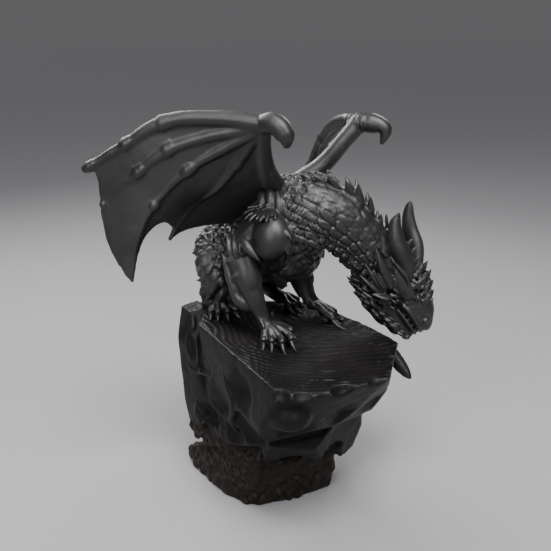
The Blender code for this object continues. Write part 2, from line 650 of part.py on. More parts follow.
def hull(points):
    """A closed convex block around its corners."""
    block = bmesh.new()
    for point in points:
        block.verts.new(point)
    made = bmesh.ops.convex_hull(block, input=block.verts)
    loose = [v for v in made["geom_interior"] if isinstance(v, bmesh.types.BMVert)]
    bmesh.ops.delete(block, geom=loose, context="VERTS")
    mesh = bpy.data.meshes.new("block")
    block.to_mesh(mesh)
    block.free()
    return mesh


def rock_blocks():
    crown = [rock_top(x, y) for x, y in [
        (-24.3, 16.2), (-28.6, -4.9), (-35.4, -25.3), (-41.1, -46.3), (-36.3, -53.5), (-27.5, -57.2),
        (-16.3, -59.1), (-5.2, -64.7), (20.2, -48.9), (24, -30), (26, -10.6), (23.3, 5.3),
        (-0.4, 27), (-13.8, 24.5)]]
    crown += [rock_point(*p) for p in [
        (-39.5, -34, 50), (-27.7, -43, 48), (-9.8, -44.5, 44.5), (15.8, -41.2, 40.4), (24, -41, 44),
        (23, -20, 36), (22, 5, 36), (-2, 26, 38), (-22.6, 14.1, 36.6), (-25.2, -8.7, 34.9),
        (-28.9, -24.9, 36.2)]]
    slab = [rock_point(*p) for p in [
        (-17.5, 35.5, 73.5), (-11, 33, 75.2), (-13.0, 22, 75.0), (-20, 27, 73.6), (-23, 31.5, 61),
        (-24.5, 20, 60), (-21.6, 30.1, 33), (-20.4, 27.5, 19), (-10, 36, 18), (-8, 36, 60),
        (-22.4, 20, 18.6), (-23.4, 12, 36), (0, 28, 30), (-6, 18, 66)]]
    middle = [rock_point(*p) for p in [
        (-25, -8, 46), (-27, -30, 46), (-10, -38, 44), (14, -36, 42), (22, -20, 42), (20, 10, 42),
        (0, 26, 42), (-22, 16, 42), (-27.5, -23.4, 35), (-14.5, -30.8, 30.7), (-6.6, -33, 28.4),
        (11.6, -31.4, 24.9), (14.9, -29, 15.7), (20, 0, 16), (4, 24, 14), (-20, 20, 16),
        (-22, -2, 24), (24, -30, 36), (21.5, -32, 28), (20, -29, 18)]]
    base = [rock_point(*p) for p in [
        (-19.2, -14.8, 26), (-7, -26, 26), (9, -28, 24), (18, -20, 24), (20, 4, 24), (2, 24, 24),
        (-14, 14, 24), (-8.9, -17.5, -2), (-1, -19.5, -2), (12.0, -23.5, -2), (23, -16, -2),
        (25, 8, -2), (14, 28, -2), (-4, 34, -2), (-14, 16, -2)]]
    rubble = [rock_point(*p) for p in [
        (-14.3, 36, -2), (-19.4, 25.5, -2), (-21.4, 18.4, -2), (-23.9, 2.6, -2), (-22.9, -5.5, -2),
        (-19.6, -12.7, -2), (-8.9, -17.5, -2), (-3, -20.4, -2), (-15.7, 35.5, 5.8),
        (-18.4, 18.2, 15), (-19.8, 1.7, 25), (-19.8, -13.3, 25), (-7, -14.8, 7), (0, 0, 24),
        (0, 26, 12)]]
    return [hull(block) for block in (crown, slab, middle, base, rubble)]


ROCK_BULGE = ((-31.6, -41.5, 57.5), (8.4, 9.6, 8.0))    # centre and radii of the jutting nose
ROCK_SHELF = [       # corners of the shelf below the nose
    (-28.9, -24.9, 35.4), (-21.9, -31.8, 34.0), (-12.6, -37.4, 33.0), (-26.4, -20.2, 39.7),
    (-2.9, -38.4, 40.6), (-23.2, -20.6, 25.4), (-5.4, -33.6, 24.2), (-16.4, -11.9, 28.3),
    (2.7, -31.0, 28.3),
]
ROCK_CHIPS = [       # a point on the surface, its outward direction, radius and depth of a hollow
    ((-27.0, -40.0, 47.0), (-0.5, -0.6, -0.6), 12, 3.6),
    ((-12.0, -50.0, 52.0), (-0.2, -0.8, -0.6), 17, 3.0),
    ((6.0, -48.0, 50.0), (0.1, -0.8, -0.6), 20, 2.4),
    ((-22.5, 11.0, 32.5), (-1.0, 0.1, -0.1), 9, 2.6),
    ((-24.5, -4.5, 31.5), (-1.0, 0.0, -0.2), 10, 3.0),
    ((-25.2, 2.0, 44.0), (-1.0, 0.2, -0.1), 24, 1.8),
    ((-33.5, -21.0, 58.5), (-1.0, 0.3, 0.0), 34, 1.5),
    ((-28.0, -18.0, 42.0), (-0.9, 0.0, -0.5), 16, 2.2),
    ((-24.0, 17.0, 62.0), (-1.0, 0.3, 0.0), 14, 1.6),
    ((-40.3, -45.6, 67.2), (-0.7, -0.4, 0.5), 4.5, 2.0),
    ((-36.4, -51.6, 67.6), (-0.4, -0.7, 0.6), 5.0, 2.2),
    ((-30.5, -55.8, 68.0), (-0.3, -0.8, 0.5), 4.0, 1.4),
    ((-22.4, -57.4, 67.4), (-0.3, -0.8, 0.4), 6.0, 2.4),
    ((-10.0, -61.4, 68.4), (-0.3, -0.8, 0.5), 4.5, 1.2),
    ((3.0, -58.8, 69.2), (0.3, -0.8, 0.5), 5.0, 1.5),
    ((14.0, -51.6, 69.4), (0.5, -0.8, 0.4), 6.0, 1.8),
    ((-9.5, -21.5, 22.8), (-0.6, -0.7, 0.1), 7, 1.6),
    ((4.0, -27.5, 20.0), (0.0, -1.0, 0.0), 8, 1.6),
    ((22.0, -30.0, 55.0), (0.9, -0.3, -0.3), 22, 2.4),
    ((24.0, -6.0, 56.0), (1.0, 0.0, -0.2), 24, 2.2),
    ((8.0, 24.0, 52.0), (0.5, 0.9, 0.0), 20, 2.4),
    ((20.0, 4.0, 24.0), (1.0, 0.2, -0.1), 15, 2.6),
    ((6.0, 27.0, 20.0), (0.2, 1.0, 0.0), 14, 2.6),
]


def rock_ball(centre, radii):
    """A closed faceted ball to join to the rock or to cut it with."""
    ball = bmesh.new()
    size = Matrix.Diagonal((*rock_point(*radii), 1))
    bmesh.ops.create_icosphere(ball, subdivisions=2, radius=1,
                               matrix=Matrix.Translation(rock_point(*centre)) @ size)
    mesh = bpy.data.meshes.new("ball")
    ball.to_mesh(mesh)
    ball.free()
    return mesh


def ground_block():
    """What lies below the ground, to trim the rock flat."""
    depth = 0.02
    block = bmesh.new()
    bmesh.ops.create_cube(block, size=1, matrix=Matrix.Translation((0, 0, -depth / 2))
                          @ Matrix.Diagonal((3 * ROCK_WIDTH, 3 * ROCK_LENGTH, depth, 1)))
    mesh = bpy.data.meshes.new("floor")
    block.to_mesh(mesh)
    block.free()
    return mesh


def worked_rock(collection, cutters):
    """One object joined from convex blocks, chipped in shell-shaped hollows and trimmed flat."""
    first, *blocks = rock_blocks()
    rock = add_object("rock_plinth", first, collection)
    steps = [("UNION", mesh) for mesh in blocks]
    steps.append(("UNION", hull([rock_point(*p) for p in ROCK_SHELF])))
    steps.append(("UNION", rock_ball(*ROCK_BULGE)))
    for point, outward, radius, depth in ROCK_CHIPS:
        centre = Vector(point) + Vector(outward).normalized() * (radius - depth)
        steps.append(("DIFFERENCE", rock_ball(centre, (radius, radius, radius))))
    steps.append(("DIFFERENCE", ground_block()))
    for k, (operation, mesh) in enumerate(steps):
        step = rock.modifiers.new(f"step_{k}", "BOOLEAN")
        step.operation = operation
        step.solver = "EXACT"
        step.object = add_object(f"tool_{k}", mesh, cutters)
    apply_modifiers(rock)
    keep_largest(rock)
    rock.data.materials.clear()
    rock.data.materials.append(plastic("black plastic rock", (0.016, 0.015, 0.014), 0.45))
    return rock


def clearance_around(rock, cutters):
    """The rock grown by the clearance, to cut the feet with."""
    grown = rock.data.copy()
    shape = bmesh.new()
    shape.from_mesh(grown)
    shape.normal_update()
    moves = [v.normal * CLEARANCE * v.calc_shell_factor() for v in shape.verts]
    for vertex, move in zip(shape.verts, moves):
        vertex.co += move
    shape.to_mesh(grown)
    shape.free()
    return add_object("rock_clearance", grown, cutters)


def thinned_and_seated(figure, cutter):
    """Brings the figure down to a working number of faces and cuts its feet clear of the rock. A
    little fewer faces are tried where it would touch itself along an edge."""
    fine = figure.data
    for share in FACE_SHARES:
        figure.data = fine.copy()
        figure.data.calc_loop_triangles()
        thin = figure.modifiers.new("thin", "DECIMATE")
        thin.ratio = share * FIGURE_TRIANGLES / len(figure.data.loop_triangles)
        apply_modifiers(figure)
        seat = figure.modifiers.new("seat", "BOOLEAN")
        seat.operation = "DIFFERENCE"
        seat.solver = "EXACT"
        seat.object = cutter
        apply_modifiers(figure)
        keep_largest(figure)
        if is_closed(figure):
            break
    figure.data.materials.clear()
    figure.data.materials.append(plastic("black plastic", (0.012, 0.012, 0.012), 0.35))


def hide_cutters(cutters):
    for item in cutters.objects:
        item.hide_render = True
        item.display_type = "WIRE"


def main():
    clear_scene()
    collection = new_collection("dragon statue")
    cutters = new_collection("cutters")
    rock = worked_rock(collection, cutters)
    figure = fused_figure(collection)
    thinned_and_seated(figure, clearance_around(rock, cutters))
    hide_cutters(cutters)


main()
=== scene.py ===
"""The printed dragon on its leaning rock: fine surfaces, satin plastic, camera and light.

Lengths of the figure are skeleton units, one unit being FIGURE_HEIGHT / 85, counted from the rock
top below the belly, as in the part's source. The dragon looks along -Y and its right side is -X.
"""

from math import cos, pi, radians, sin

import bmesh
import bpy
import numpy as np
from mathutils import Matrix, Vector, noise
from mathutils.bvhtree import BVHTree


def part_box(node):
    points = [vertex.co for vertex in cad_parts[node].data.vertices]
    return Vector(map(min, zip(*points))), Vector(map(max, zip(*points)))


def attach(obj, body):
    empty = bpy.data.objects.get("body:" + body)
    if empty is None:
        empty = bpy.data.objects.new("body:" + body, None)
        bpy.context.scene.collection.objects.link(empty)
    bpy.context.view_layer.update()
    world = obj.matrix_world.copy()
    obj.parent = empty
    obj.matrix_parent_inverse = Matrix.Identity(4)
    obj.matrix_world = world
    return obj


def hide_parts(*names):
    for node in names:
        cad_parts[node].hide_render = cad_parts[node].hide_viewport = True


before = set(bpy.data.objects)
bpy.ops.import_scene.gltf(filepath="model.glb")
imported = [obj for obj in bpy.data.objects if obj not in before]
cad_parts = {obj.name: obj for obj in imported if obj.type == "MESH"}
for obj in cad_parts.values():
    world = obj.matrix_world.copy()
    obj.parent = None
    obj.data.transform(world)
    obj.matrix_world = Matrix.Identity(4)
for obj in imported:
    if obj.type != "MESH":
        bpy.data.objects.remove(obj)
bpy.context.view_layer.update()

# Sizes shared with the part's source, metres
FIGURE_HEIGHT = 0.085
ROCK_HEIGHT = 0.0723
RISE_TO_TAIL = 0.055
RISE_TO_LEFT = 0.030
MEMBRANE = 0.0017
HEAD_PITCH = 63

UNIT = FIGURE_HEIGHT / 85
UP = Vector((0, 0, 1))
LEFT_SIDE = 1
RIGHT_SIDE = -1

# Print and sculpting sizes, metres
LAYER = 0.0002
BODY_GRAIN = 0.00042
HEAD_GRAIN = 0.00034
WING_GRAIN = 0.00050
ROCK_GRAIN = 0.00055
PIECE_TRIANGLES = 195000
LOOSE_VERTICES = 3000    # a shell of the figure with fewer is dropped before it is thinned


def ground(x, y):
    """Height of the rock top, in skeleton units, below a point of the skeleton."""
    return RISE_TO_TAIL * y + RISE_TO_LEFT * x


def place(point):
    """Skeleton units to metres."""
    return Vector(point) * UNIT + UP * ROCK_HEIGHT


def on_ground(x, y, lift):
    return Vector((x, y, ground(x, y) + lift))


def mirrored(points):
    """Points of the right side moved to the left side."""
    return [Vector((-p[0], p[1], p[2])) for p in points]


def smooth_rows(rows, steps):
    """Rows of numbers interpolated by a Catmull-Rom curve, steps to each span."""
    rows = np.array(rows, float)
    padded = np.vstack([2 * rows[0] - rows[1], rows, 2 * rows[-1] - rows[-2]])
    result = []
    for a, b, c, d in zip(padded, padded[1:], padded[2:], padded[3:]):
        for t in np.arange(steps) / steps:
            bend = (2 * a - 5 * b + 4 * c - d) * t * t + (3 * b - a - 3 * c + d) * t ** 3
            result.append(0.5 * (2 * b + (c - a) * t + bend))
    result.append(rows[-1])
    return np.array(result)


def at_share(rows, share):
    """The point at a share of a polyline's points."""
    position = min(max(share, 0.0), 1.0) * (len(rows) - 1)
    index = min(int(position), len(rows) - 2)
    return Vector(rows[index]).lerp(Vector(rows[index + 1]), position - index)


def frames(centres):
    """Along, across and up directions at each centre of a path."""
    found = []
    last = len(centres) - 1
    for i in range(last + 1):
        step = Vector(centres[min(i + 1, last)]) - Vector(centres[max(i - 1, 0)])
        along = step.normalized()
        across = along.cross(UP).normalized()
        found.append((along, across, across.cross(along)))
    return found


# Shapes that clay is built from

def baked(shape, name):
    """A mesh of a bmesh that is then freed."""
    mesh = bpy.data.meshes.new(name)
    shape.to_mesh(mesh)
    shape.free()
    return mesh


def mesh_of(item):
    """The evaluated mesh of an object that is then removed."""
    bpy.context.scene.collection.objects.link(item)
    evaluated = item.evaluated_get(bpy.context.evaluated_depsgraph_get())
    mesh = bpy.data.meshes.new_from_object(evaluated)
    bpy.data.objects.remove(item)
    return mesh


def reworked(mesh, *modifiers):
    """The mesh after modifiers, each a kind and its settings."""
    item = bpy.data.objects.new(mesh.name, mesh)
    for kind, settings in modifiers:
        modifier = item.modifiers.new(kind.lower(), kind)
        for name, value in settings.items():
            setattr(modifier, name, value)
    return mesh_of(item)


def fused(mesh, grain, relax=2):
    """Forms fused into one skin of a given grain and relaxed."""
    return reworked(mesh, ("REMESH", {"mode": "VOXEL", "voxel_size": grain}),
                    ("SMOOTH", {"factor": 0.5, "iterations": relax}))


def add_mesh(clay, mesh):
    clay.from_mesh(mesh)
    bpy.data.meshes.remove(mesh)


def tube(clay, points, radii, sides=4):
    """A bone, horn or tail: a smooth curve with a radius at each point."""
    curve = bpy.data.curves.new("tube", "CURVE")
    curve.dimensions = "3D"
    curve.bevel_depth = 1.0
    curve.bevel_resolution = sides
    curve.resolution_u = 10
    curve.use_fill_caps = True
    spline = curve.splines.new("BEZIER")
    spline.bezier_points.add(len(points) - 1)
    for knot, point, radius in zip(spline.bezier_points, points, radii):
        knot.co = place(point)
        knot.radius = radius * UNIT
        knot.handle_left_type = "AUTO"
        knot.handle_right_type = "AUTO"
    add_mesh(clay, mesh_of(bpy.data.objects.new("tube", curve)))


def muscle(clay, centre, radii, turn=(0, 0, 0)):
    """An ellipsoid; turn is in degrees about X, Y and Z."""
    spin = Matrix.Rotation(radians(turn[2]), 4, "Z") @ Matrix.Rotation(radians(turn[1]), 4, "Y")
    spin = spin @ Matrix.Rotation(radians(turn[0]), 4, "X")
    scale = Matrix.Diagonal((*[r * UNIT for r in radii], 1))
    ball = bmesh.new()
    bmesh.ops.create_uvsphere(ball, u_segments=32, v_segments=20, radius=1,
                              matrix=Matrix.Translation(place(centre)) @ spin @ scale)
    add_mesh(clay, baked(ball, "ball"))


def skin(clay, rings):
    """A closed loft through rings of points in skeleton units."""
    loops = [[clay.verts.new(place(p)) for p in ring] for ring in rings]
    count = len(loops[0])
    for near, far in zip(loops, loops[1:]):
        for i in range(count):
            j = (i + 1) % count
            clay.faces.new((near[i], near[j], far[j], far[i]))
    clay.faces.new(loops[0][::-1])
    clay.faces.new(loops[-1])


def body_loft(clay, stations, sides=48, steps=8):
    """A loft through stations of x, y, z, half width and half height, square to its path."""
    rows = smooth_rows(stations, steps)
    rings = []
    turns = [2 * pi * i / sides for i in range(sides)]
    for row, (_, across, up) in zip(rows, frames(rows[:, :3])):
        centre = Vector(row[:3])
        rings.append([centre + across * row[3] * cos(a) + up * row[4] * sin(a) for a in turns])
    skin(clay, rings)


# Outlines of blades: shares of the length and of the half width there
BLADE_SHAPE = [(0.0, 0.80), (0.15, 0.97), (0.3, 1.0), (0.5, 0.82), (0.7, 0.56), (0.85, 0.32), (1.0, 0.05)]
ROUNDED_SHAPE = [(0.0, 0.7), (0.2, 0.95), (0.45, 1.0), (0.7, 0.86), (0.88, 0.6), (1.0, 0.2)]
CLAW_SHAPE = [(0.0, 1.0), (0.2, 1.0), (0.45, 0.82), (0.7, 0.55), (0.88, 0.28), (1.0, 0.04)]


def blade(clay, base, tip, width, thickness, flat, bow=0.0, shape=BLADE_SHAPE, keel=0.35):
    """A pointed scale, spike or claw from base to tip. Its keeled flat side faces the direction
    flat, and bow lifts its middle that way."""
    base = Vector(base)
    tip = Vector(tip)
    along = (tip - base).normalized()
    across = along.cross(Vector(flat)).normalized()
    facing = across.cross(along)
    sides = 10
    rings = []
    for share, swell in shape:
        centre = base.lerp(tip, share) + facing * bow * 4 * share * (1 - share)
        ring = []
        for i in range(sides):
            turn = 2 * pi * i / sides
            rise = sin(turn)
            ridge = keel * thickness * max(0.0, rise) ** 6
            side = across * width * swell * cos(turn)
            ring.append(centre + side + facing * (thickness * rise + ridge) * swell)
        rings.append(ring)
    skin(clay, rings)


def web(clay, rib_a, rib_b, scallop, billow, reach=(1.0, 1.0), folds=0.0):
    """Wing skin between two ribs, up to a share of each: its free edge is hollowed by scallop, its
    middle blown out by billow, and folds adds faint drapes along the ribs."""
    rib_a = smooth_rows(rib_a, 8)
    rib_b = smooth_rows(rib_b, 8)
    rows = 48
    columns = 26
    sheet = bmesh.new()
    grid = []
    for j in range(columns + 1):
        t = j / columns
        hollow = 4 * t * (1 - t)
        line = []
        for i in range(rows + 1):
            s = (1 - scallop * hollow) * i / rows
            point = at_share(rib_a, s * reach[0]).lerp(at_share(rib_b, s * reach[1]), t)
            lift = hollow * min(1.0, 1.5 * s) + folds * sin(3 * pi * t) * hollow * s
            point += Vector(billow) * lift
            line.append(sheet.verts.new(place(point)))
        grid.append(line)
    for near, far in zip(grid, grid[1:]):
        for i in range(rows):
            sheet.faces.new((near[i], near[i + 1], far[i + 1], far[i]))
    add_mesh(clay, reworked(baked(sheet, "web"), ("SOLIDIFY", {"thickness": MEMBRANE, "offset": 0})))


# Carved scales, set over a surface by Geometry Nodes

def template(name, rings):
    """A small closed scale, one unit long along +Y with its outer side to +Z."""
    shape = bmesh.new()
    loops = []
    for y, width, top, bottom, height in rings:
        outline = [(-1, 0), (-0.55, 0.7), (0, 1), (0.55, 0.7), (1, 0), (0, -1)]
        loop = []
        for x, z in outline:
            depth = top * z if z > 0 else bottom * z
            loop.append(shape.verts.new((x * width, y, height + depth)))
        loops.append(loop)
    for near, far in zip(loops, loops[1:]):
        for i in range(6):
            j = (i + 1) % 6
            shape.faces.new((near[i], near[j], far[j], far[i]))
    shape.faces.new(loops[0][::-1])
    shape.faces.new(loops[-1])
    bmesh.ops.recalc_face_normals(shape, faces=shape.faces)
    return bpy.data.objects.new(name, baked(shape, name))


def scale_templates():
    """Rings are y, half width, top, bottom and height of the middle."""
    leaf = template("leaf_scale", [(-0.15, 0.25, 0.10, 0.5, -0.25), (0.15, 0.44, 0.22, 0.5, 0.0),
                                   (0.5, 0.46, 0.26, 0.4, 0.10), (0.8, 0.28, 0.22, 0.3, 0.17),
                                   (1.0, 0.04, 0.06, 0.1, 0.20)])
    pebble = template("pebble_scale", [(-0.1, 0.20, 0.1, 0.3, -0.1), (0.1, 0.42, 0.24, 0.4, 0.0),
                                       (0.5, 0.50, 0.34, 0.4, 0.02), (0.85, 0.40, 0.26, 0.4, 0.02),
                                       (1.02, 0.18, 0.10, 0.3, 0.0)])
    plate = template("plate_scale", [(-0.05, 0.40, 0.05, 0.3, -0.1), (0.1, 0.47, 0.18, 0.4, 0.0),
                                     (0.8, 0.49, 0.24, 0.4, 0.08), (0.95, 0.44, 0.18, 0.4, 0.08),
                                     (1.0, 0.34, 0.02, 0.3, 0.05)])
    return leaf, pebble, plate


def set_inputs(tree, node, values):
    """Gives a node's inputs their values, or links where a value is another node's output."""
    for name, value in values.items():
        if isinstance(value, bpy.types.NodeSocket):
            tree.links.new(value, node.inputs[name])
        elif value is not None:
            node.inputs[name].default_value = value


def add_node(tree, kind, values=None, **settings):
    """A new node with its settings, and values or links for its inputs."""
    node = tree.nodes.new(kind)
    for name, value in settings.items():
        setattr(node, name, value)
    set_inputs(tree, node, values or {})
    return node


def scale_tree():
    """Instances one template on every point, turned to the point's facing and heading."""
    tree = bpy.data.node_groups.new("carved scales", "GeometryNodeTree")
    for label, way, kind in (("Geometry", "INPUT", "Geometry"), ("Scale", "INPUT", "Object"),
                             ("Finish", "INPUT", "Material"), ("Geometry", "OUTPUT", "Geometry")):
        tree.interface.new_socket(label, in_out=way, socket_type="NodeSocket" + kind)
    entry = add_node(tree, "NodeGroupInput").outputs
    shape = add_node(tree, "GeometryNodeObjectInfo", {"Object": entry["Scale"]})
    facing, heading, size = [add_node(tree, "GeometryNodeInputNamedAttribute", {"Name": name},
                                      data_type="FLOAT_VECTOR").outputs["Attribute"]
                             for name in ("facing", "heading", "size")]
    turn = add_node(tree, "FunctionNodeAxesToRotation", {"Primary Axis": facing, "Secondary Axis": heading},
                    primary_axis="Z", secondary_axis="Y")
    spread = add_node(tree, "GeometryNodeInstanceOnPoints",
                      {"Points": entry["Geometry"], "Instance": shape.outputs["Geometry"],
                       "Rotation": turn.outputs["Rotation"], "Scale": size})
    real = add_node(tree, "GeometryNodeRealizeInstances", {"Geometry": spread.outputs["Instances"]})
    finish = add_node(tree, "GeometryNodeSetMaterial",
                      {"Geometry": real.outputs["Geometry"], "Material": entry["Finish"]})
    add_node(tree, "NodeGroupOutput", {"Geometry": finish.outputs["Geometry"]})
    return tree


class Scales:
    """Scales waiting to be set: a place, facing, heading and size for each, in metres."""

    def __init__(self):
        self.rows = []

    def add(self, position, facing, heading, length, width, height):
        size = Vector((width, length, height)) * UNIT
        self.rows.append((position, facing, heading, size))

    def onto(self, clay, shape, tree):
        """Adds one template at every row to the clay."""
        if not self.rows:
            return
        guide = bpy.data.meshes.new("scale points")
        guide.from_pydata([row[0] for row in self.rows], [], [])
        for index, name in enumerate(("facing", "heading", "size")):
            attribute = guide.attributes.new(name, "FLOAT_VECTOR", "POINT")
            values = [value for row in self.rows for value in row[index + 1]]
            attribute.data.foreach_set("vector", values)
        item = bpy.data.objects.new("scale points", guide)
        spread = item.modifiers.new("scales", "NODES")
        spread.node_group = tree
        for socket in tree.interface.items_tree:
            if socket.name == "Scale":
                spread[socket.identifier] = shape
        add_mesh(clay, mesh_of(item))


def surface_of(clay, grain):
    """The clay so far as a fused surface that scales are set on."""
    mesh = bpy.data.meshes.new("surface")
    clay.to_mesh(mesh)
    skin_mesh = fused(mesh, grain, 4)
    shape = bmesh.new()
    shape.from_mesh(skin_mesh)
    tree = BVHTree.FromBMesh(shape)
    shape.free()
    bpy.data.meshes.remove(skin_mesh)
    return tree


SCALE_SINK = 0.12        # how deep a scale's root lies in the skin, in skeleton units


def set_scale(surface, scales, dice, start, toward, reach, lead, size, wild, swell=1.0):
    """Sets one scale where a ray from start meets the surface, its tip turned to lead. Size is its
    length, width and height."""
    hit, normal, _, _ = surface.ray_cast(start, toward, reach * UNIT)
    if hit is None:
        return
    lead = Vector(lead)
    lead = (lead - normal * lead.dot(normal)).normalized()
    grow = 1 + wild * (dice.random() - 0.5)
    scales.add(hit - normal * SCALE_SINK * UNIT, normal, lead, size[0] * grow * swell,
               size[1] * grow * swell, size[2] * swell)


def cover(surface, scales, path, reach, rows, columns, arc, heading, size, wild=0.15, seed=1,
          span=(0.0, 1.0), taper=0.0):
    """Sets staggered rows of scales where rays toward a path meet the surface, over a span of it.
    arc gives the first and last angle about the path at a share of it, from its across direction
    over its top, in degrees. Taper is the share of the size lost at the path's end."""
    dice = np.random.default_rng(seed)
    fine = smooth_rows(path, 12)
    directions = frames(fine)
    for i in range(rows):
        share = span[0] + (span[1] - span[0]) * (i + 0.5) / rows
        index = int(round(share * (len(fine) - 1)))
        along, across, up = directions[index]
        centre = Vector(fine[index])
        low, high = arc(share)
        for j in range(columns):
            shift = 0.5 * (i % 2)
            t = (j + 0.5 + shift - 0.25 + wild * (dice.random() - 0.5)) / columns
            angle = radians(low + (high - low) * t)
            out = across * cos(angle) + up * sin(angle)
            jog = along * wild * (dice.random() - 0.5) * size[0]
            set_scale(surface, scales, dice, place(centre + jog + out * reach), -out, reach,
                      heading(along, up), size, wild, 1.0 - taper * share)


def steady(low, high, mirror=False):
    """The same two angles all along a path, or their mirror image about it."""
    return lambda share: (180 - low, 180 - high) if mirror else (low, high)


BAND_SHARES = [0.10, 0.24, 0.38, 0.54, 0.70, 1.00]
BAND_EDGES = [       # angles of the neck's bands at those shares of its path, from its top downward
    [86, 74, 70, 66, 62, 60],
    [58, 30, 9, 2, -6, -10],
    [46, 9, -5, -11, -20, -28],
    [31, -8, -28, -30, -36, -44],
    [6, -27, -42, -46, -52, -58],
    [-25, -48, -62, -66, -70, -74],
]


def between_bands(upper, lower, mirror=False):
    """The two angles that bound a band of the neck at each share of its path."""
    def angles(share):
        low = np.interp(share, BAND_SHARES, BAND_EDGES[lower])
        high = np.interp(share, BAND_SHARES, BAND_EDGES[upper])
        return (180 - low, 180 - high) if mirror else (low, high)
    return angles


# The figure's skeleton, as in the part's source

TORSO = [            # x, y, z, half width, half height
    (0, 39.5, 13, 4.5, 5.0),
    (0, 35, 16, 7.0, 8.0),
    (0, 28, 20.5, 10.0, 11.5),
    (0, 19, 25, 12.0, 14.5),
    (0, 9, 31, 11.5, 14.0),
    (0, -3, 36, 12.5, 16.5),
    (0, -13, 42, 13.0, 18.5),
    (2, -21, 45, 12.0, 15.5),
    (6.5, -27, 44.5, 10.4, 12.5),
    (11, -32, 40, 9.0, 10.8),
    (16, -36.5, 33, 7.6, 9.8),
    (21, -40.5, 26.5, 6.6, 9.2),
    (25, -43.5, 21, 6.0, 8.6),
]
CHEST = (0, -14, 33.5, 11.0, 10.0, 13.0)    # x, y, z and radii
BELLY = (2, -2, 24.5, 9.0, 12.0, 9.2)

FINGER_1 = [(-24, -22, 81), (-33.4, -7.6, 82.6), (-44.7, 6.5, 80.8), (-52.7, 17.4, 73.4),
            (-61, 28.4, 65.3)]
FINGER_2 = [(-24, -21, 80), (-36, -3.6, 75.8), (-43.7, 5.5, 71.6), (-49.9, 14.6, 63.7),
            (-57.5, 26.3, 51.6), (-56.8, 27.0, 43.5), (-55.6, 26.0, 36.0), (-52.5, 22.8, 31.0)]
FINGER_3 = [(-24, -20, 79), (-31.2, -8.4, 72.1), (-38.4, 1.6, 64.5), (-46, 12, 51.7),
            (-49.9, 17.3, 39.7), (-51.5, 20.4, 22.3)]
FINGER_4 = [(-24, -19, 78), (-25.2, -8.7, 66.3), (-26.8, -0.1, 57.2), (-30, 8.8, 50.6),
            (-33.6, 15.3, 41.8), (-35.2, 18.2, 35.8)]
ARM = [(-6.6, -9.4, 55.5), (-14.8, -13.4, 64), (-20.4, -17.6, 73), (-23.5, -20.5, 80.3)]
ARM_RADII = [4.4, 3.3, 2.7, 3.2]
FLANK = [(-23.5, -20.5, 80), (-19.2, -18.0, 71.5), (-11.5, -11.5, 58.5), (-7, 2, 46.5), (-8, 14, 39)]
THUMB = [(-24, -20.5, 80.8), (-23.4, -26.0, 81.4), (-22.2, -30.0, 77.6), (-21.8, -30.4, 73.6)]
THUMB_RADII = [3.4, 3.75, 3.35, 1.0]
FAR_ARM = [(6, -10, 56), (13.5, -15.5, 63), (19.5, -20.5, 72), (24.4, -23.2, 78.0)]
FAR_FLANK = [(24.4, -23, 77.7), (17, -19.5, 69), (9, -12, 58), (7, 2, 46.5), (8, 14, 39)]
FAR_THUMB = [(24.4, -23.0, 78.0), (26.2, -27.8, 78.2), (27.8, -32.8, 76.0), (26.6, -32.6, 70.6)]
FAR_ARM_RADII = [4.4, 3.6, 3.3, 3.7]
FAR_THUMB_RADII = [3.7, 3.9, 2.75, 0.7]
FAR_TURN = 12            # degrees that the left fingers are folded back from the right ones' mirror
FAR_DROOP = 0.0104       # their fall for each unit toward the tail, squared
FAR_FAN = 0.62           # how far they are spread, as a share of the right ones

TAIL = [(0, 34, 15), (5, 41, 7), (14, 46.5, -6), (26, 46, -15), (36, 37.5, -19), (43, 21, -20),
        (46, 2, -18), (46, -16, -17), (45.8, -27, -18)]
TAIL_RADII = [6.4, 5.4, 4.7, 4.2, 3.8, 3.3, 2.8, 2.3, 1.8]

HEAD_CENTRE = Vector((26, -44.5, 19))
HEAD_HEADING = Vector((0.39, -0.92, 0)).normalized()
HEAD_LEFT = Vector((-HEAD_HEADING.y, HEAD_HEADING.x, 0))
HEAD_ALONG = HEAD_HEADING * cos(radians(HEAD_PITCH)) - UP * sin(radians(HEAD_PITCH))
HEAD_TOP = HEAD_HEADING * sin(radians(HEAD_PITCH)) + UP * cos(radians(HEAD_PITCH))


def head_point(along, left, top):
    return HEAD_CENTRE + HEAD_ALONG * along + HEAD_LEFT * left + HEAD_TOP * top


# Wings

def folded(finger):
    """A finger of the left wing: the right one's mirror image about the left wrist, turned back,
    drooped and closed."""
    turn = Matrix.Rotation(radians(FAR_TURN), 3, "Z")
    moved = []
    for point in mirrored(finger):
        reach = turn @ (point - mirrored(ARM)[-1])
        reach.z = FAR_FAN * reach.z - FAR_DROOP * max(0.0, reach.y) ** 2
        moved.append(Vector(FAR_ARM[-1]) + reach)
    return moved


def knuckled(clay, finger, radii, joints):
    """A finger bone that swells at its joints and is waisted between them."""
    tube(clay, finger, radii)
    fine = smooth_rows(finger, 10)
    for index, radius in joints:
        centre = Vector(finger[index])
        step = (Vector(fine[min(index * 10 + 2, len(fine) - 1)]) - Vector(fine[index * 10 - 2])).normalized()
        muscle(clay, centre, (radius, radius, radius))
        for offset, share in ((-1.7, 0.93), (1.5, 0.8)):
            muscle(clay, centre + step * offset, (radius * share,) * 3)


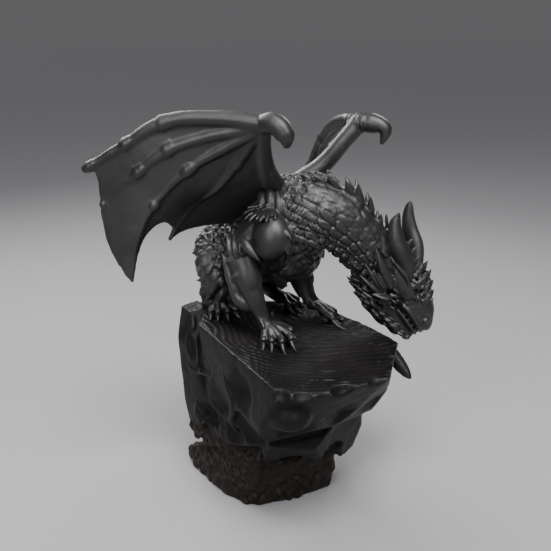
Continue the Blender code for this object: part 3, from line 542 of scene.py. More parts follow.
def wing_clay(side):
    """One raised wing: arm, thumb claw, four fingers, wrist folds and the skin between them."""
    clay = bmesh.new()
    fingers = [FINGER_1, FINGER_2, FINGER_3, FINGER_4]
    arm, flank, thumb = ARM, FLANK, THUMB
    arm_radii, thumb_radii = ARM_RADII, THUMB_RADII
    if side == LEFT_SIDE:
        fingers = [folded(f) for f in fingers]
        arm, flank, thumb = FAR_ARM, FAR_FLANK, FAR_THUMB
        arm_radii, thumb_radii = FAR_ARM_RADII, FAR_THUMB_RADII
    first, second, third, fourth = fingers
    wrist = Vector(arm[-1])
    tube(clay, arm, arm_radii)
    sinew = [Vector(p) + Vector((side * -0.4, 1.2, -2.4)) for p in arm]
    tube(clay, sinew, [2.2, 1.5, 1.5, 2.0])
    muscle(clay, wrist, (3.2, 4.2, 3.1))
    tube(clay, thumb, thumb_radii, 6)
    fold_path = smooth_rows([Vector(first[1]), wrist, Vector(thumb[1])], 12)
    for share in (0.30, 0.38, 0.46, 0.53, 0.60, 0.67):
        centre = at_share(fold_path, share)
        step = (at_share(fold_path, share + 0.03) - at_share(fold_path, share - 0.03)).normalized()
        wrinkle = step.cross(UP).normalized()
        arch = [centre + wrinkle * 3.3 * cos(a) + UP * (3.6 * sin(a) - 0.2) for a in
                [pi * m / 6 for m in range(-1, 8)]]
        tube(clay, arch, [0.3] + [0.62] * 7 + [0.3], 2)
    knuckled(clay, first, [3.0, 2.8, 2.7, 2.0, 1.7], [(2, 3.1), (3, 2.6), (4, 2.2)])
    knuckled(clay, second, [2.2, 2.2, 2.2, 1.7, 0.8, 0.9, 0.9, 0.7], [(2, 2.7), (3, 2.5)])
    knuckled(clay, third, [2.2, 2.1, 1.7, 0.8, 1.2, 0.6], [(2, 2.5)])
    knuckled(clay, fourth, [2.0, 2.2, 1.5, 1.1, 1.1, 0.8], [(1, 2.5)])
    muscle(clay, second[4], (1.7, 1.7, 1.7))
    muscle(clay, third[3], (2.0, 2.0, 2.0))
    blown = Vector((side * 1.5, 1.5, -1.0))
    web(clay, first, second, 0.05, blown, (0.97, 0.58), 0.10)
    web(clay, second, third, 0.03, blown, folds=0.14)
    web(clay, third, fourth, 0.21, blown, (0.97, 0.84), 0.10)
    web(clay, fourth, flank, 0.08, (side * 2.5, 2.0, 0.0), (0.97, 1.0), 0.12)
    for rib in (fourth, third):
        crease = [Vector(p) for p in rib[2:]]
        tube(clay, crease, [1.2] * (len(crease) - 1) + [0.7], 3)
    return clay


# Legs

def foot(clay, ankle, toes, claw=1.0):
    """Toes from the ankle over two knuckles to a claw tip on the ground; each toe is a knuckle's
    x, y and lift and a tip's x and y."""
    for knuckle_x, knuckle_y, lift, tip_x, tip_y in toes:
        knuckle = on_ground(knuckle_x, knuckle_y, lift)
        tip = on_ground(tip_x, tip_y, 0.25)
        instep = Vector(ankle).lerp(knuckle, 0.55) + UP * 1.0
        tube(clay, [ankle, instep, knuckle], [2.0, 1.4, 1.35])
        tube(clay, [Vector(ankle) + UP * 1.5, instep + UP * 1.0, knuckle + UP * 0.8], [0.8, 0.6, 0.6], 2)
        socket = knuckle.lerp(tip, 0.36) + UP * 0.3
        tube(clay, [knuckle, knuckle.lerp(tip, 0.2) + UP * 0.4, socket], [1.5, 1.25, 1.2])
        flat = (knuckle - tip).normalized().cross(UP).cross(knuckle - tip)
        blade(clay, knuckle.lerp(tip, 0.28), tip, claw, claw * 1.1, -flat, 1.2, CLAW_SHAPE, 0.1)
        muscle(clay, on_ground(knuckle_x, knuckle_y, 1.2), (1.5, 1.5, 1.7))


def forelegs(clay):
    """The right foreleg with its shoulder, forearm, sinews and foot, then the left one."""
    muscle(clay, (-14.5, -15.5, 39.5), (7.0, 8.0, 8.8), (0, 10, 0))
    muscle(clay, (-13.5, -12.5, 45), (5.5, 6.5, 6.0))
    tube(clay, [(-9, -10, 44), (-15, -8, 39), (-19, -2, 33)], [8, 7, 5.2])
    tube(clay, [(-19, -1.5, 33.5), (-18.7, -5, 25), (-17.8, -9.5, 16), (-16.5, -12.5, 8),
                (-16, -14.5, 4)], [4.9, 5.6, 4.0, 2.6, 2.6])
    muscle(clay, (-18.4, -6.5, 25.5), (5.4, 5.0, 10.0), (-22, 0, 0))
    for shift in (-1.4, 0.2, 1.7):
        tube(clay, [(-18.6 + shift, -9.5, 17), (-17.2 + shift, -13.3, 8.5), (-16.5 + 1.6 * shift, -16, 5.2)],
             [1.0, 0.8, 0.7], 2)
    foot(clay, (-16, -14, 5), [(-19.5, -16.5, 3.2, -23, -19.5), (-18, -19.0, 3.6, -22.2, -23.6),
                               (-16, -21.5, 3.8, -19.6, -28.4), (-11.8, -21.8, 3.8, -14.5, -29),
                               (-7, -17.0, 3.0, -5.8, -21.2)])
    tube(clay, [(9.5, -10, 38), (12.5, -6.5, 27), (14, -4.5, 19), (14.5, -6.5, 11), (14.6, -8.2, 5)],
         [8, 6.2, 4.4, 3.0, 2.6])
    muscle(clay, (11, -10.5, 36), (6.5, 8.0, 9.5))
    tube(clay, [(9, -6, 27), (11.5, -3, 19), (12.8, -4, 13), (13.8, -6, 8)], [5.0, 4.5, 3.2, 2.4])
    for shift in (-1.3, 0.3, 1.6):
        tube(clay, [(14.6 + shift, -7.4, 13), (14.9 + shift, -9.6, 7.5), (15.4 + 1.6 * shift, -11.8, 5.2)],
             [0.9, 0.8, 0.7], 2)
    foot(clay, (14.6, -8.5, 4.5), [(19.5, -15.5, 3.2, 20.7, -22.4), (17.2, -16.5, 3.4, 16.8, -24),
                                   (14.0, -18.0, 3.2, 14.0, -29.0), (19.8, -10.0, 2.8, 24, -12)])


def hindlegs(clay):
    """The right hindleg with its thigh, shin and foot, then the left one."""
    tube(clay, [(-6, 23, 28.5), (-11, 20, 26), (-15.5, 15, 19.5)], [9.0, 7.6, 5.4])
    tube(clay, [(-15.3, 14.5, 18.5), (-14.5, 18.5, 13), (-12.5, 23.5, 8.5)], [5.0, 5.0, 3.2])
    muscle(clay, (-11.5, 15.0, 14.0), (5.0, 5.5, 8.0))
    muscle(clay, (-16.0, 14.0, 18.0), (3.8, 4.2, 4.8))
    tube(clay, [(-12.5, 24, 8), (-13.4, 20, 5.5), (-13.5, 16.5, 4)], [3.2, 2.8, 2.6])
    foot(clay, (-13.5, 17.5, 4.5), [(-16.2, 17.5, 3.2, -19.6, 14.4), (-15.4, 14.0, 3.6, -18.4, 11.2),
                                    (-12.4, 12.0, 3.8, -14.6, 8.6), (-8.6, 12.2, 3.2, -8.4, 8.0)])
    tube(clay, [(6, 24, 28.5), (11.5, 19, 26), (15.5, 11.5, 18.5)], [9.0, 8.0, 5.2])
    tube(clay, [(15.5, 10.5, 17.5), (15.5, 16, 12), (13.5, 20, 8)], [4.6, 4.0, 3.0])
    muscle(clay, (15.8, 10.5, 17.5), (3.8, 4.2, 4.8))
    tube(clay, [(13.5, 20.5, 7.5), (13.5, 12, 5.5), (13, 6, 4.2)], [3.0, 3.0, 2.8])
    foot(clay, (13, 6.5, 4.5), [(11.0, 1.5, 3.2, 11.0, -4.5), (13.8, 1.0, 3.4, 14.2, -5.8),
                                (17.2, 2.8, 3.2, 19.4, -2.2)])


FOREARM_BLADES = [   # base, tip, half width and which way the flat side faces
    ((-21.0, -3.0, 16.9), (-23.2, 2.0, 32.8), 1.9, (-1, -0.2, 0.1)),
    ((-20.6, -5.0, 11.5), (-23.3, -0.7, 26.3), 2.2, (-1, -0.2, 0.1)),
    ((-19.4, -8.0, 10.4), (-22.8, -2.0, 19.6), 2.0, (-1, -0.2, 0.1)),
    ((-18.6, -1.6, 15.5), (-20.6, 4.0, 27.0), 1.8, (-0.7, 0.6, 0.1)),
    ((-18.4, -5.0, 9.5), (-19.6, 0.6, 19.5), 1.8, (-0.7, 0.6, 0.1)),
    ((-22.3, -3.1, 30.5), (-20.9, 1.1, 39.4), 1.3, (-1, -0.2, 0.1)),
    ((-21.7, -5.2, 30.8), (-20.6, -2.0, 39.6), 1.3, (-1, -0.2, 0.1)),
    ((-20.8, -7.5, 31.8), (-20.4, -5.0, 38.2), 1.1, (-1, -0.2, 0.1)),
    ((-22.4, -8.8, 38.4), (-20.3, -16.0, 31.0), 2.0, (-1, -0.5, 0.2)),
    ((15.5, 0.6, 22.0), (16.1, 3.6, 28.5), 1.4, (0.8, 0.8, 0.2)),
    ((15.8, -0.8, 17.0), (16.4, 2.2, 22.8), 1.3, (0.8, 0.8, 0.2)),
    ((16.1, -2.9, 10.0), (16.7, 0.1, 14.6), 1.0, (0.8, 0.8, 0.2)),
]
SHOULDER_BLADES = [  # base, tip and half width, from the wing's root down over the shoulder
    ((-12.5, -8.7, 54.7), (-16.0, -12.2, 47.6), 2.0),
    ((-11.2, -11.5, 55.7), (-14.7, -15.0, 48.6), 1.9),
    ((-10.1, -14.0, 55.1), (-12.9, -18.3, 47.3), 1.9),
    ((-8.7, -16.7, 53.5), (-11.3, -19.8, 46.6), 1.7),
    ((-7.7, -19.2, 51.5), (-9.8, -21.3, 45.1), 1.5),
]


FOREARM_PROUD = 1.6      # how far the right forearm's blades stand out toward the front right


def limb_blades(clay):
    """Long overlapping blades down the forearms and broad ones over the shoulders."""
    for base, tip, width, flat in FOREARM_BLADES:
        proud = -FOREARM_PROUD * FRONT_RIGHT if base[0] < 0 else Vector((0, 0, 0))
        blade(clay, Vector(base) + proud * 0.6, Vector(tip) + proud, width * 0.9, 1.2, flat, 0.9)
    for base, tip, width in SHOULDER_BLADES:
        for side in (LEFT_SIDE, RIGHT_SIDE):
            near, far = Vector(base), Vector(tip)
            if side == LEFT_SIDE:
                near, far = mirrored([near, far])
            blade(clay, near, far, width, 1.3, (0.66 * side, -0.68, 0.29), 0.6, ROUNDED_SHAPE)


def tail(clay):
    """Down behind the rock, along its left flank, to a leaf-shaped tip beside its front."""
    tube(clay, TAIL, TAIL_RADII, 6)
    blade(clay, (45.6, -22, -16.5), (45.9, -38.2, -29.2), 3.3, 1.7, (-0.68, -0.55, 0.48), 0.6,
          ROUNDED_SHAPE)
    fine = smooth_rows(TAIL, 12)
    for k in range(16):
        share = 0.04 + 0.05 * k
        base = at_share(fine, share)
        along = (at_share(fine, share + 0.05) - base).normalized()
        out = Vector((0.55, 0.35, 0.75)) if share > 0.2 else Vector((0.1, 1, 0.5))
        out = (out - along * out.dot(along)).normalized()
        size = 1 - 0.55 * share
        root = base + out * 4.0 * size
        blade(clay, root, root + (out * 3.6 + along * 3.4) * size, 1.3 * size, 1.0 * size, along.cross(out))


# Head

SKULL = [            # along, height of centre, half width, half height
    (-14, -3.0, 5.6, 7.4),
    (-8, -1.5, 5.9, 8.2),
    (-2, 0.0, 6.3, 8.2),
    (4, 1.2, 6.2, 7.2),
    (9, 2.2, 5.3, 5.6),
    (12.5, 2.8, 4.7, 4.5),
    (16, 2.6, 4.0, 3.7),
    (18.4, 1.8, 3.0, 2.8),
    (19.6, 1.0, 1.7, 1.7),
]
JAW = [              # along, height of centre, half width, half height
    (-13, -8.0, 6.0, 6.4),
    (-4, -8.6, 6.6, 6.4),
    (4, -8.4, 6.0, 5.6),
    (11, -7.0, 4.9, 4.5),
    (16, -5.8, 3.9, 3.5),
    (19.4, -4.8, 2.8, 2.5),
    (20.6, -4.4, 1.4, 1.4),
]
HORN = [(-2.0, 4.4, 5.4), (-9.9, 7.2, 7.7), (-16.6, 8.4, 8.2), (-21.6, 8.4, 9.7), (-25.4, 8.0, 12.0),
        (-27.0, 7.4, 13.6)]
HORN_RADII = [3.0, 3.6, 3.2, 2.5, 1.5, 0.25]
FAR_TILT = 0.16      # how much higher, for each unit from the middle, the left side's details lie
FRILL = [            # base along, left, top; tip along, left, top; half width
    (-12.6, 7.2, 3.0, -22.5, 8.6, 1.8, 0.9),
    (-1.5, 7.4, -1.1, -18.0, 11.6, 1.7, 2.4),
    (-2.6, 8.4, -2.5, -12.0, 12.2, -2.4, 0.9),
    (-0.9, 7.6, -3.7, -14.8, 12.4, -4.2, 1.7),
    (-0.5, 7.4, -4.8, -11.4, 12.2, -8.2, 1.6),
    (2.2, 7.2, -2.8, -3.0, 10.8, -8.0, 1.2),
    (0.6, 7.0, -7.6, -5.0, 10.4, -11.0, 1.3),
]
BROW_PLATES = [      # base along, left, top; tip along, left, top; half width
    (-0.6, 3.4, 6.8, -4.1, 3.8, 12.2, 1.3),
    (3.0, 3.0, 7.2, -0.6, 3.6, 12.0, 1.4),
    (6.6, 2.6, 6.8, 3.2, 3.2, 11.4, 1.3),
    (9.8, 2.2, 6.2, 6.8, 2.6, 10.2, 1.2),
    (-3.0, 5.6, 5.6, -7.0, 6.6, 9.4, 1.0),
]


def broad_horn(clay, points, radii, flat):
    """A smooth horn, broader across than it is thick, with a keel down its outer side."""
    fine = smooth_rows([(*p, r) for p, r in zip(points, radii)], 10)
    rings = []
    for row, (along, _, _) in zip(fine, frames(fine[:, :3])):
        across = along.cross(Vector(flat)).normalized()
        facing = across.cross(along)
        ring = []
        for i in range(20):
            turn = 2 * pi * i / 20
            keel = 0.16 * max(0.0, sin(turn)) ** 5
            reach = across * cos(turn) + facing * (0.8 * sin(turn) + keel)
            ring.append(Vector(row[:3]) + reach * row[3])
        rings.append(ring)
    skin(clay, rings)


# Tubes down the head's middle: along, top and radius
NOSE_BRIDGE = [(7, 5.8, 3.0), (12.5, 5.2, 2.8), (16.4, 3.8, 2.3), (18.8, 1.4, 1.5), (19.8, -0.6, 0.5)]
PALATE = [(4, -1.6, 4.6), (12, -1.4, 3.4), (18.6, -1.2, 1.5)]
CHIN_LINE = [        # along and top of its knobs
    (-10.8, -15.4), (-7.0, -16.1), (-3.2, -16.2), (0.6, -15.2), (4.4, -13.6), (8.0, -12.4),
    (11.4, -10.9), (14.4, -9.5), (17.0, -8.4), (19.2, -7.2),
]
MOUTH_BRISTLES = [   # along, left, top
    (3.4, 6.8, -1.0), (5.4, 6.4, -2.2), (5.0, 6.6, -4.4), (7.6, 6.0, -4.0), (2.0, 7.0, 0.6),
]


def at_length(table, along):
    """A loft table's other columns at a length along it."""
    columns = list(zip(*table))
    return [np.interp(along, columns[0], column) for column in columns[1:]]


def head_details(clay, side):
    """Horn, frill, brow, eye, lips, teeth, jaw scales and chin knobs of one side. Points are along,
    left and top from the head's centre."""
    def at(f, l, u):
        return head_point(f, side * l, u + (FAR_TILT * l if side == LEFT_SIDE else 0))

    def line(points, radii):
        tube(clay, [at(*p) for p in points], radii, 3)

    def lump(place_at, *radii):
        muscle(clay, at(*place_at), radii)

    def spike(base, tip, *shape, **more):
        blade(clay, at(*base), at(*tip), *shape, **more)

    outward = HEAD_LEFT * side
    broad_horn(clay, [at(*p) for p in HORN], HORN_RADII, outward * 0.9 + HEAD_TOP * 0.3)
    for f0, l0, u0, f1, l1, u1, width in FRILL:
        spike((f0, l0 + 0.6, u0), (f1, l1 + 2.0, u1), width * 0.95, 1.7, outward, 1.2, keel=0.5)
    for row in BROW_PLATES:
        spike(row[:3], row[3:6], row[6], 0.8, outward, 0.3, keel=0.6)
    # cheek plate behind the eye, edged by a thin ridge
    spike((5.5, 5.6, 2.2), (-11.0, 8.4, 3.4), 3.4, 1.3, outward, 0.9, keel=0.1)
    line([(-12.2, 8.8, 3.5), (-7.0, 9.0, 5.1), (-2.0, 8.2, 6.0), (0.7, 7.4, 5.3), (3.7, 6.5, 4.8),
          (7.5, 5.4, 5.3)], [0.35, 0.75, 0.85, 0.8, 0.7, 0.5])
    # eye between its lids, under a knobbed brow
    lump((1.6, 5.9, 6.6), 1.35, 1.35, 1.35)
    line([(-0.8, 6.2, 6.6), (1.2, 6.2, 8.2), (4.0, 5.4, 7.2)], [0.5, 0.9, 0.5])
    line([(-0.4, 6.8, 5.6), (2.0, 6.9, 5.0), (4.2, 6.0, 5.8)], [0.4, 0.6, 0.4])
    for f, l, u, size in ((-1.8, 5.6, 8.6, 1.1), (0.8, 5.0, 9.2, 1.1), (3.4, 4.4, 8.8, 1.0),
                          (6.0, 4.6, 7.2, 0.9), (8.4, 4.2, 6.8, 0.8)):
        lump((f, l, u), size, size, size)
    # nose: a long crest, nostril, lips and teeth
    line([(6.5, 4.4, 6.2), (10.5, 3.6, 6.4), (14.0, 2.8, 5.9), (17.0, 2.2, 4.6)], [0.7, 0.9, 1.0, 0.8])
    lump((16.2, 3.0, 4.2), 1.5, 1.2, 1.3)
    line([(7.0, 6.2, -0.6), (10.0, 5.5, 0.4), (13.6, 4.9, 1.0), (17.4, 3.9, 1.2), (19.0, 2.4, 0.8),
          (20.0, 0.4, -0.4)], [0.5, 0.95, 1.05, 1.0, 0.85, 0.7])
    line([(8.0, 5.4, -3.4), (12.0, 4.8, -2.6), (15.6, 4.2, -2.0), (18.6, 2.8, -1.9), (20.2, 0.8, -2.4)],
         [0.5, 0.8, 0.8, 0.75, 0.6])
    for k in range(4):
        f = 10.8 + 2.5 * k
        l = 4.9 - 0.45 * k
        spike((f, l, 0.1 + 0.1 * k), (f + 0.4, l, -2.6), 0.5, 0.5, outward)
    # rows of pointed scales down the side of the jaw and a knobbed chin line
    for row in range(4):
        angle = radians(-12 - 21 * row)
        for k in range(9 - row):
            f = -9.5 + 3.3 * k + 1.6 * (row % 2)
            middle, reach, depth = at_length(JAW, f)
            grow = 1 + 0.32 * sin(3.7 * k + 2.3 * row)
            spike((f + 1.9, reach * cos(angle), middle + depth * sin(angle) + 0.5),
                  (f - 2.4 * grow, (reach + 1.8 * grow) * cos(angle),
                   middle + (depth + 1.9 * grow) * sin(angle) - 1.5),
                  1.35 * grow, 1.0, outward * cos(angle) + HEAD_TOP * sin(angle), 0.5, BLADE_SHAPE, 0.3)
    for k, (f, u) in enumerate(CHIN_LINE):
        grow = 1 + 0.2 * sin(2.9 * k)
        spike((f + 1.4, 1.8, u + 2.6), (f - 1.8 * grow, 2.4, u + 0.4), 1.9 * grow, 1.3, -HEAD_TOP, 0.5,
              ROUNDED_SHAPE, 0.3)
    for f, l, u in MOUTH_BRISTLES:
        spike((f, l, u), (f - 3.4, l + 1.3, u - 1.6), 0.8, 0.7, outward, 0.3)


def head(clay):
    """Skull, jaw, both sides' details, the bridge of the nose, the palate and a row of crown spikes."""
    for table in (SKULL, JAW):
        body_loft(clay, [(*head_point(f, 0, u), w, h) for f, u, w, h in table])
    for side in (LEFT_SIDE, RIGHT_SIDE):
        head_details(clay, side)
    for rows in (NOSE_BRIDGE, PALATE):
        tube(clay, [head_point(f, 0, u) for f, u, _ in rows], [radius for _, _, radius in rows], 5)
    for k in range(8):
        f = -12 + 3.4 * k
        top = 8.0 - 0.012 * max(0.0, f) ** 2
        blade(clay, head_point(f, 0, top - 0.8), head_point(f - 2.4, 0, top + 3.6), 1.3, 1.5, HEAD_LEFT)


NECK_SPIKES = [      # share of the neck's path, length, half width, half thickness
    (0.13, 4.4, 1.9, 1.3),
    (0.20, 6.0, 2.2, 1.6),
    (0.26, 6.6, 2.2, 1.5),
    (0.315, 8.2, 1.9, 1.2),
    (0.375, 8.4, 1.9, 1.1),
    (0.44, 9.6, 2.0, 1.1),
    (0.525, 8.6, 1.9, 1.0),
    (0.60, 6.4, 1.3, 0.9),
]
CROWN_SPIKES = [     # thin spikes behind the horns: base along, left, top; tip; half width
    (-22.0, 1.0, 4.6, -32.2, 1.0, 9.4, 0.9),
    (-21.5, -1.2, 4.4, -28.6, -1.6, 7.4, 0.8),
]


def ridge(clay):
    """Paired back-leaning blades along the neck, thin spikes behind the horns and blunt lumps over
    the withers and rump."""
    rows = smooth_rows(TORSO[6:], 12)
    directions = frames(rows[:, :3])
    for share, length, width, thickness in NECK_SPIKES:
        index = int(share * (len(rows) - 1))
        row = rows[index]
        along, across, up = directions[index]
        for side in (LEFT_SIDE, RIGHT_SIDE):
            angle = radians(90 - 17 * side)
            out = across * cos(angle) + up * sin(angle)
            base = Vector(row[:3]) + across * cos(angle) * row[3] + up * sin(angle) * row[4] - out * 1.6
            tip = base + (out * 0.72 - along * 0.70 + across * 0.10 * side) * length
            blade(clay, base, tip, width, thickness, out.cross(along), 0)
    for f0, l0, u0, f1, l1, u1, width in CROWN_SPIKES:
        blade(clay, head_point(f0, l0, u0), head_point(f1, l1, u1), width, 0.7, HEAD_LEFT, 0)
    rows = smooth_rows(TORSO, 5)
    directions = frames(rows[:, :3])
    for k in range(11):
        index = 3 + 2 * k
        row = rows[index]
        along, across, up = directions[index]
        for side in (LEFT_SIDE, RIGHT_SIDE):
            base = Vector(row[:3]) + up * (row[4] - 1.2) + across * side * 2.6
            blade(clay, base, base + up * 3.4 - along * 3.0, 2.0, 1.7, across, 0, ROUNDED_SHAPE)


# Where carved scales lie

NECK_PATH = [row[:3] for row in TORSO[6:]]
BACK_PATH = [row[:3] for row in TORSO[:7]]
FRONT_RIGHT = Vector((0.676, 0.676, -0.292))    # a look at the figure from its front right


# Which way the tips of scales turn, from a path's along and up directions

def tailward(along, up):
    return -along - up * 0.15


def tipward(along, up):
    return along


def drooping(along, up):
    return -along * 0.5 - UP * 0.9


def patch(surface, scales, corners, toward, rows, columns, heading, size, seed, wild=0.3, depth=9):
    """Sets staggered rows of scales over a four-cornered field, where rays along toward meet the
    surface. The corners are the first row's two ends and the last row's two ends."""
    dice = np.random.default_rng(seed)
    first, second, third, fourth = [Vector(c) for c in corners]
    toward = Vector(toward).normalized()
    for i in range(rows):
        v = (i + 0.5) / rows
        for j in range(columns + i % 2):
            u = (j + 0.5 - 0.5 * (i % 2) + wild * (dice.random() - 0.5)) / columns
            v_here = v + 0.5 * wild * (dice.random() - 0.5) / rows
            point = first.lerp(second, u).lerp(fourth.lerp(third, u), v_here)
            set_scale(surface, scales, dice, place(point - toward * depth), toward, 2 * depth, heading,
                      size, wild)


def neck_scales(surface, leaf, plate):
    """Small pointed scales low on the neck's flank and wide plates under the throat."""
    for mirror in (False, True):
        cover(surface, leaf, NECK_PATH, 24, 15, 2, between_bands(4, 5, mirror), tailward, (3.6, 2.7, 2.6),
              seed=14 + 10 * mirror, span=(0.08, 1.0))
    cover(surface, plate, NECK_PATH[1:], 24, 15, 1, steady(-112, -68), tailward, (4.0, 9.0, 2.6), 0.08, 31)


def body_scales(surface, leaf, pebble, plate):
    """Rough scales over the back, flanks, rump and thighs, and plates under the belly."""
    for mirror in (False, True):
        seed = 50 if mirror else 40
        cover(surface, pebble, BACK_PATH, 26, 15, 4, steady(48, 86, mirror), tailward, (4.6, 4.0, 2.2),
              0.45, seed)
        cover(surface, leaf, BACK_PATH, 26, 15, 6, steady(-28, 50, mirror), tailward, (4.6, 3.4, 1.9),
              0.35, seed + 1, (0.0, 0.86))
        cover(surface, leaf, BACK_PATH, 26, 15, 3, steady(-58, -28, mirror), tailward, (4.4, 3.2, 2.6),
              0.2, seed + 2, (0.0, 0.9))
    cover(surface, plate, BACK_PATH, 26, 14, 1, steady(-122, -58), tailward, (4.6, 13.0, 2.4), 0.08, 61)
    thigh = [(-6, 23, 28.5), (-11, 20, 26), (-15.5, 15, 19.5)]
    left_thigh = [(6, 24, 28.5), (11.5, 19, 26), (15.5, 11.5, 18.5)]
    cover(surface, pebble, thigh, 16, 5, 9, steady(-120, 120), drooping, (4.2, 3.6, 2.2), 0.5, 62)
    cover(surface, pebble, left_thigh, 16, 5, 9, steady(60, 300), drooping, (4.2, 3.6, 2.2), 0.5, 63)
    cover(surface, leaf, TAIL, 9, 40, 9, steady(0, 360), tipward, (4.6, 3.0, 2.2), 0.15, 64,
          taper=0.55)


def chest_scales(surface, leaf):
    """Long hanging scales over the breast, pointed ones from the neck root over the shoulder and
    feathery ones from the wing root down to the arm."""
    patch(surface, leaf, [(-11.5, -19.5, 46), (-5.0, -29.5, 41), (-1.7, -23, 27), (-9.0, -19, 28)],
          FRONT_RIGHT, 7, 6, (0.1, 0.25, -1.0), (5.4, 2.6, 2.8), 71)
    patch(surface, leaf, [(-9.5, -19.5, 54), (-7.5, -26.5, 50.5), (-9, -25, 43), (-12.5, -20, 45)],
          FRONT_RIGHT, 5, 4, (-0.5, 0.3, -1.0), (3.8, 1.7, 2.6), 72)
    patch(surface, leaf, [(-10.6, -2.5, 53), (-8.5, -18, 57), (-12.5, -19, 48.5), (-15.5, -8.5, 48)],
          FRONT_RIGHT, 4, 7, (-0.55, -0.15, -1.0), (6.6, 2.4, 3.0), 73)
    patch(surface, leaf, [(11.5, -19.5, 46), (9.0, -29.5, 41), (6, -20, 27), (10.0, -16, 28)],
          (-0.676, 0.676, -0.292), 6, 5, (-0.1, 0.25, -1.0), (5.0, 2.8, 2.6), 74)


def head_scales(surface, leaf, pebble):
    """Small scales over the cheeks, brow and snout."""
    path = [head_point(f, 0, u) for f, u, _, _ in SKULL]
    for mirror in (False, True):
        cover(surface, pebble, path, 16, 9, 4, steady(24, 72, mirror), tailward, (2.6, 1.9, 1.6), 0.35,
              80 + mirror, (0.25, 0.72))
        cover(surface, leaf, path, 16, 6, 3, steady(-30, 0, mirror), tailward, (2.6, 1.8, 1.8), 0.35,
              82 + mirror, (0.3, 0.6))


# The fine pieces

def cast(clay, name, grain, relax=2):
    """Clay cleaned and fused into one skin."""
    bmesh.ops.remove_doubles(clay, verts=clay.verts, dist=1e-7)
    bmesh.ops.recalc_face_normals(clay, faces=clay.faces)
    return fused(baked(clay, name), grain, relax)


def thinned(mesh, most):
    """The mesh with no more triangles than most."""
    mesh.calc_loop_triangles()
    count = len(mesh.loop_triangles)
    if count <= most:
        return mesh
    return reworked(mesh, ("DECIMATE", {"ratio": most / count}))


def shell_of(first):
    """Every vertex that edges join to one."""
    shell = [first]
    seen = {first}
    for vertex in shell:
        for edge in vertex.link_edges:
            other = edge.other_vert(vertex)
            if other not in seen:
                seen.add(other)
                shell.append(other)
    return shell


def without_crumbs(mesh, least=400):
    """Drops loose shells of fewer vertices than least, which fusing and parting leave."""
    shape = bmesh.new()
    shape.from_mesh(mesh)
    seen = set()
    crumbs = []
    for first in shape.verts:
        if first not in seen:
            shell = shell_of(first)
            seen.update(shell)
            if len(shell) < least:
                crumbs += shell
    bmesh.ops.delete(shape, geom=crumbs, context="VERTS")
    shape.to_mesh(mesh)
    shape.free()
    return mesh


def vectors_of(items, field):
    """One vector of each of a mesh's items, as an array."""
    values = np.empty(len(items) * 3)
    items.foreach_get(field, values)
    return values.reshape(-1, 3)


def points_of(mesh):
    return vectors_of(mesh.vertices, "co")


def normals_of(mesh):
    return vectors_of(mesh.vertex_normals, "vector")


def set_points(mesh, points):
    mesh.vertices.foreach_set("co", points.reshape(-1))
    mesh.update()


def drift(points, size, seed):
    """Soft noise at points, for edges that wander."""
    offset = Vector((seed * 1.7, seed * 0.9, seed * 2.3))
    return np.array([noise.noise(Vector(p) / size + offset) for p in points])


def roughen(mesh, depth, size, seed):
    """Moves the surface in and out by soft noise of a given depth and size."""
    points = points_of(mesh)
    set_points(mesh, points + normals_of(mesh) * (depth * drift(points, size, seed))[:, None])


def cells(points, seed):
    """Distances from points to the nearest and second nearest of scattered seeds, one to a unit
    cube."""
    base = np.floor(points).astype(int)
    nearest = np.full(len(points), 9.0)
    second = np.full(len(points), 9.0)
    for step in np.ndindex(3, 3, 3):
        corner = base + np.array(step) - 1
        wave = (corner @ np.array([[127.1, 269.5, 419.2], [311.7, 183.3, 371.9], [74.7, 246.1, 168.2]])
                + seed * 13.7)
        scatter = 0.5 + 0.42 * np.sin(wave * 43.7)
        distance = np.linalg.norm(corner + scatter - points, axis=1)
        closer = distance < nearest
        second = np.where(closer, nearest, np.minimum(second, distance))
        nearest = np.where(closer, distance, nearest)
    return nearest, second


def eased(value, low, high):
    share = np.clip((value - low) / (high - low), 0, 1)
    return share * share * (3 - 2 * share)


ROWS_IN_BAND = [0, 1, 1, 1.5, 2]            # of bricks, from the neck's top downward
BRICK_LENGTH = [0, 5.0, 5.0, 4.2, 3.6]
NECK_DEPTH = 0.85                           # share of the carving's drawn depth that is cut


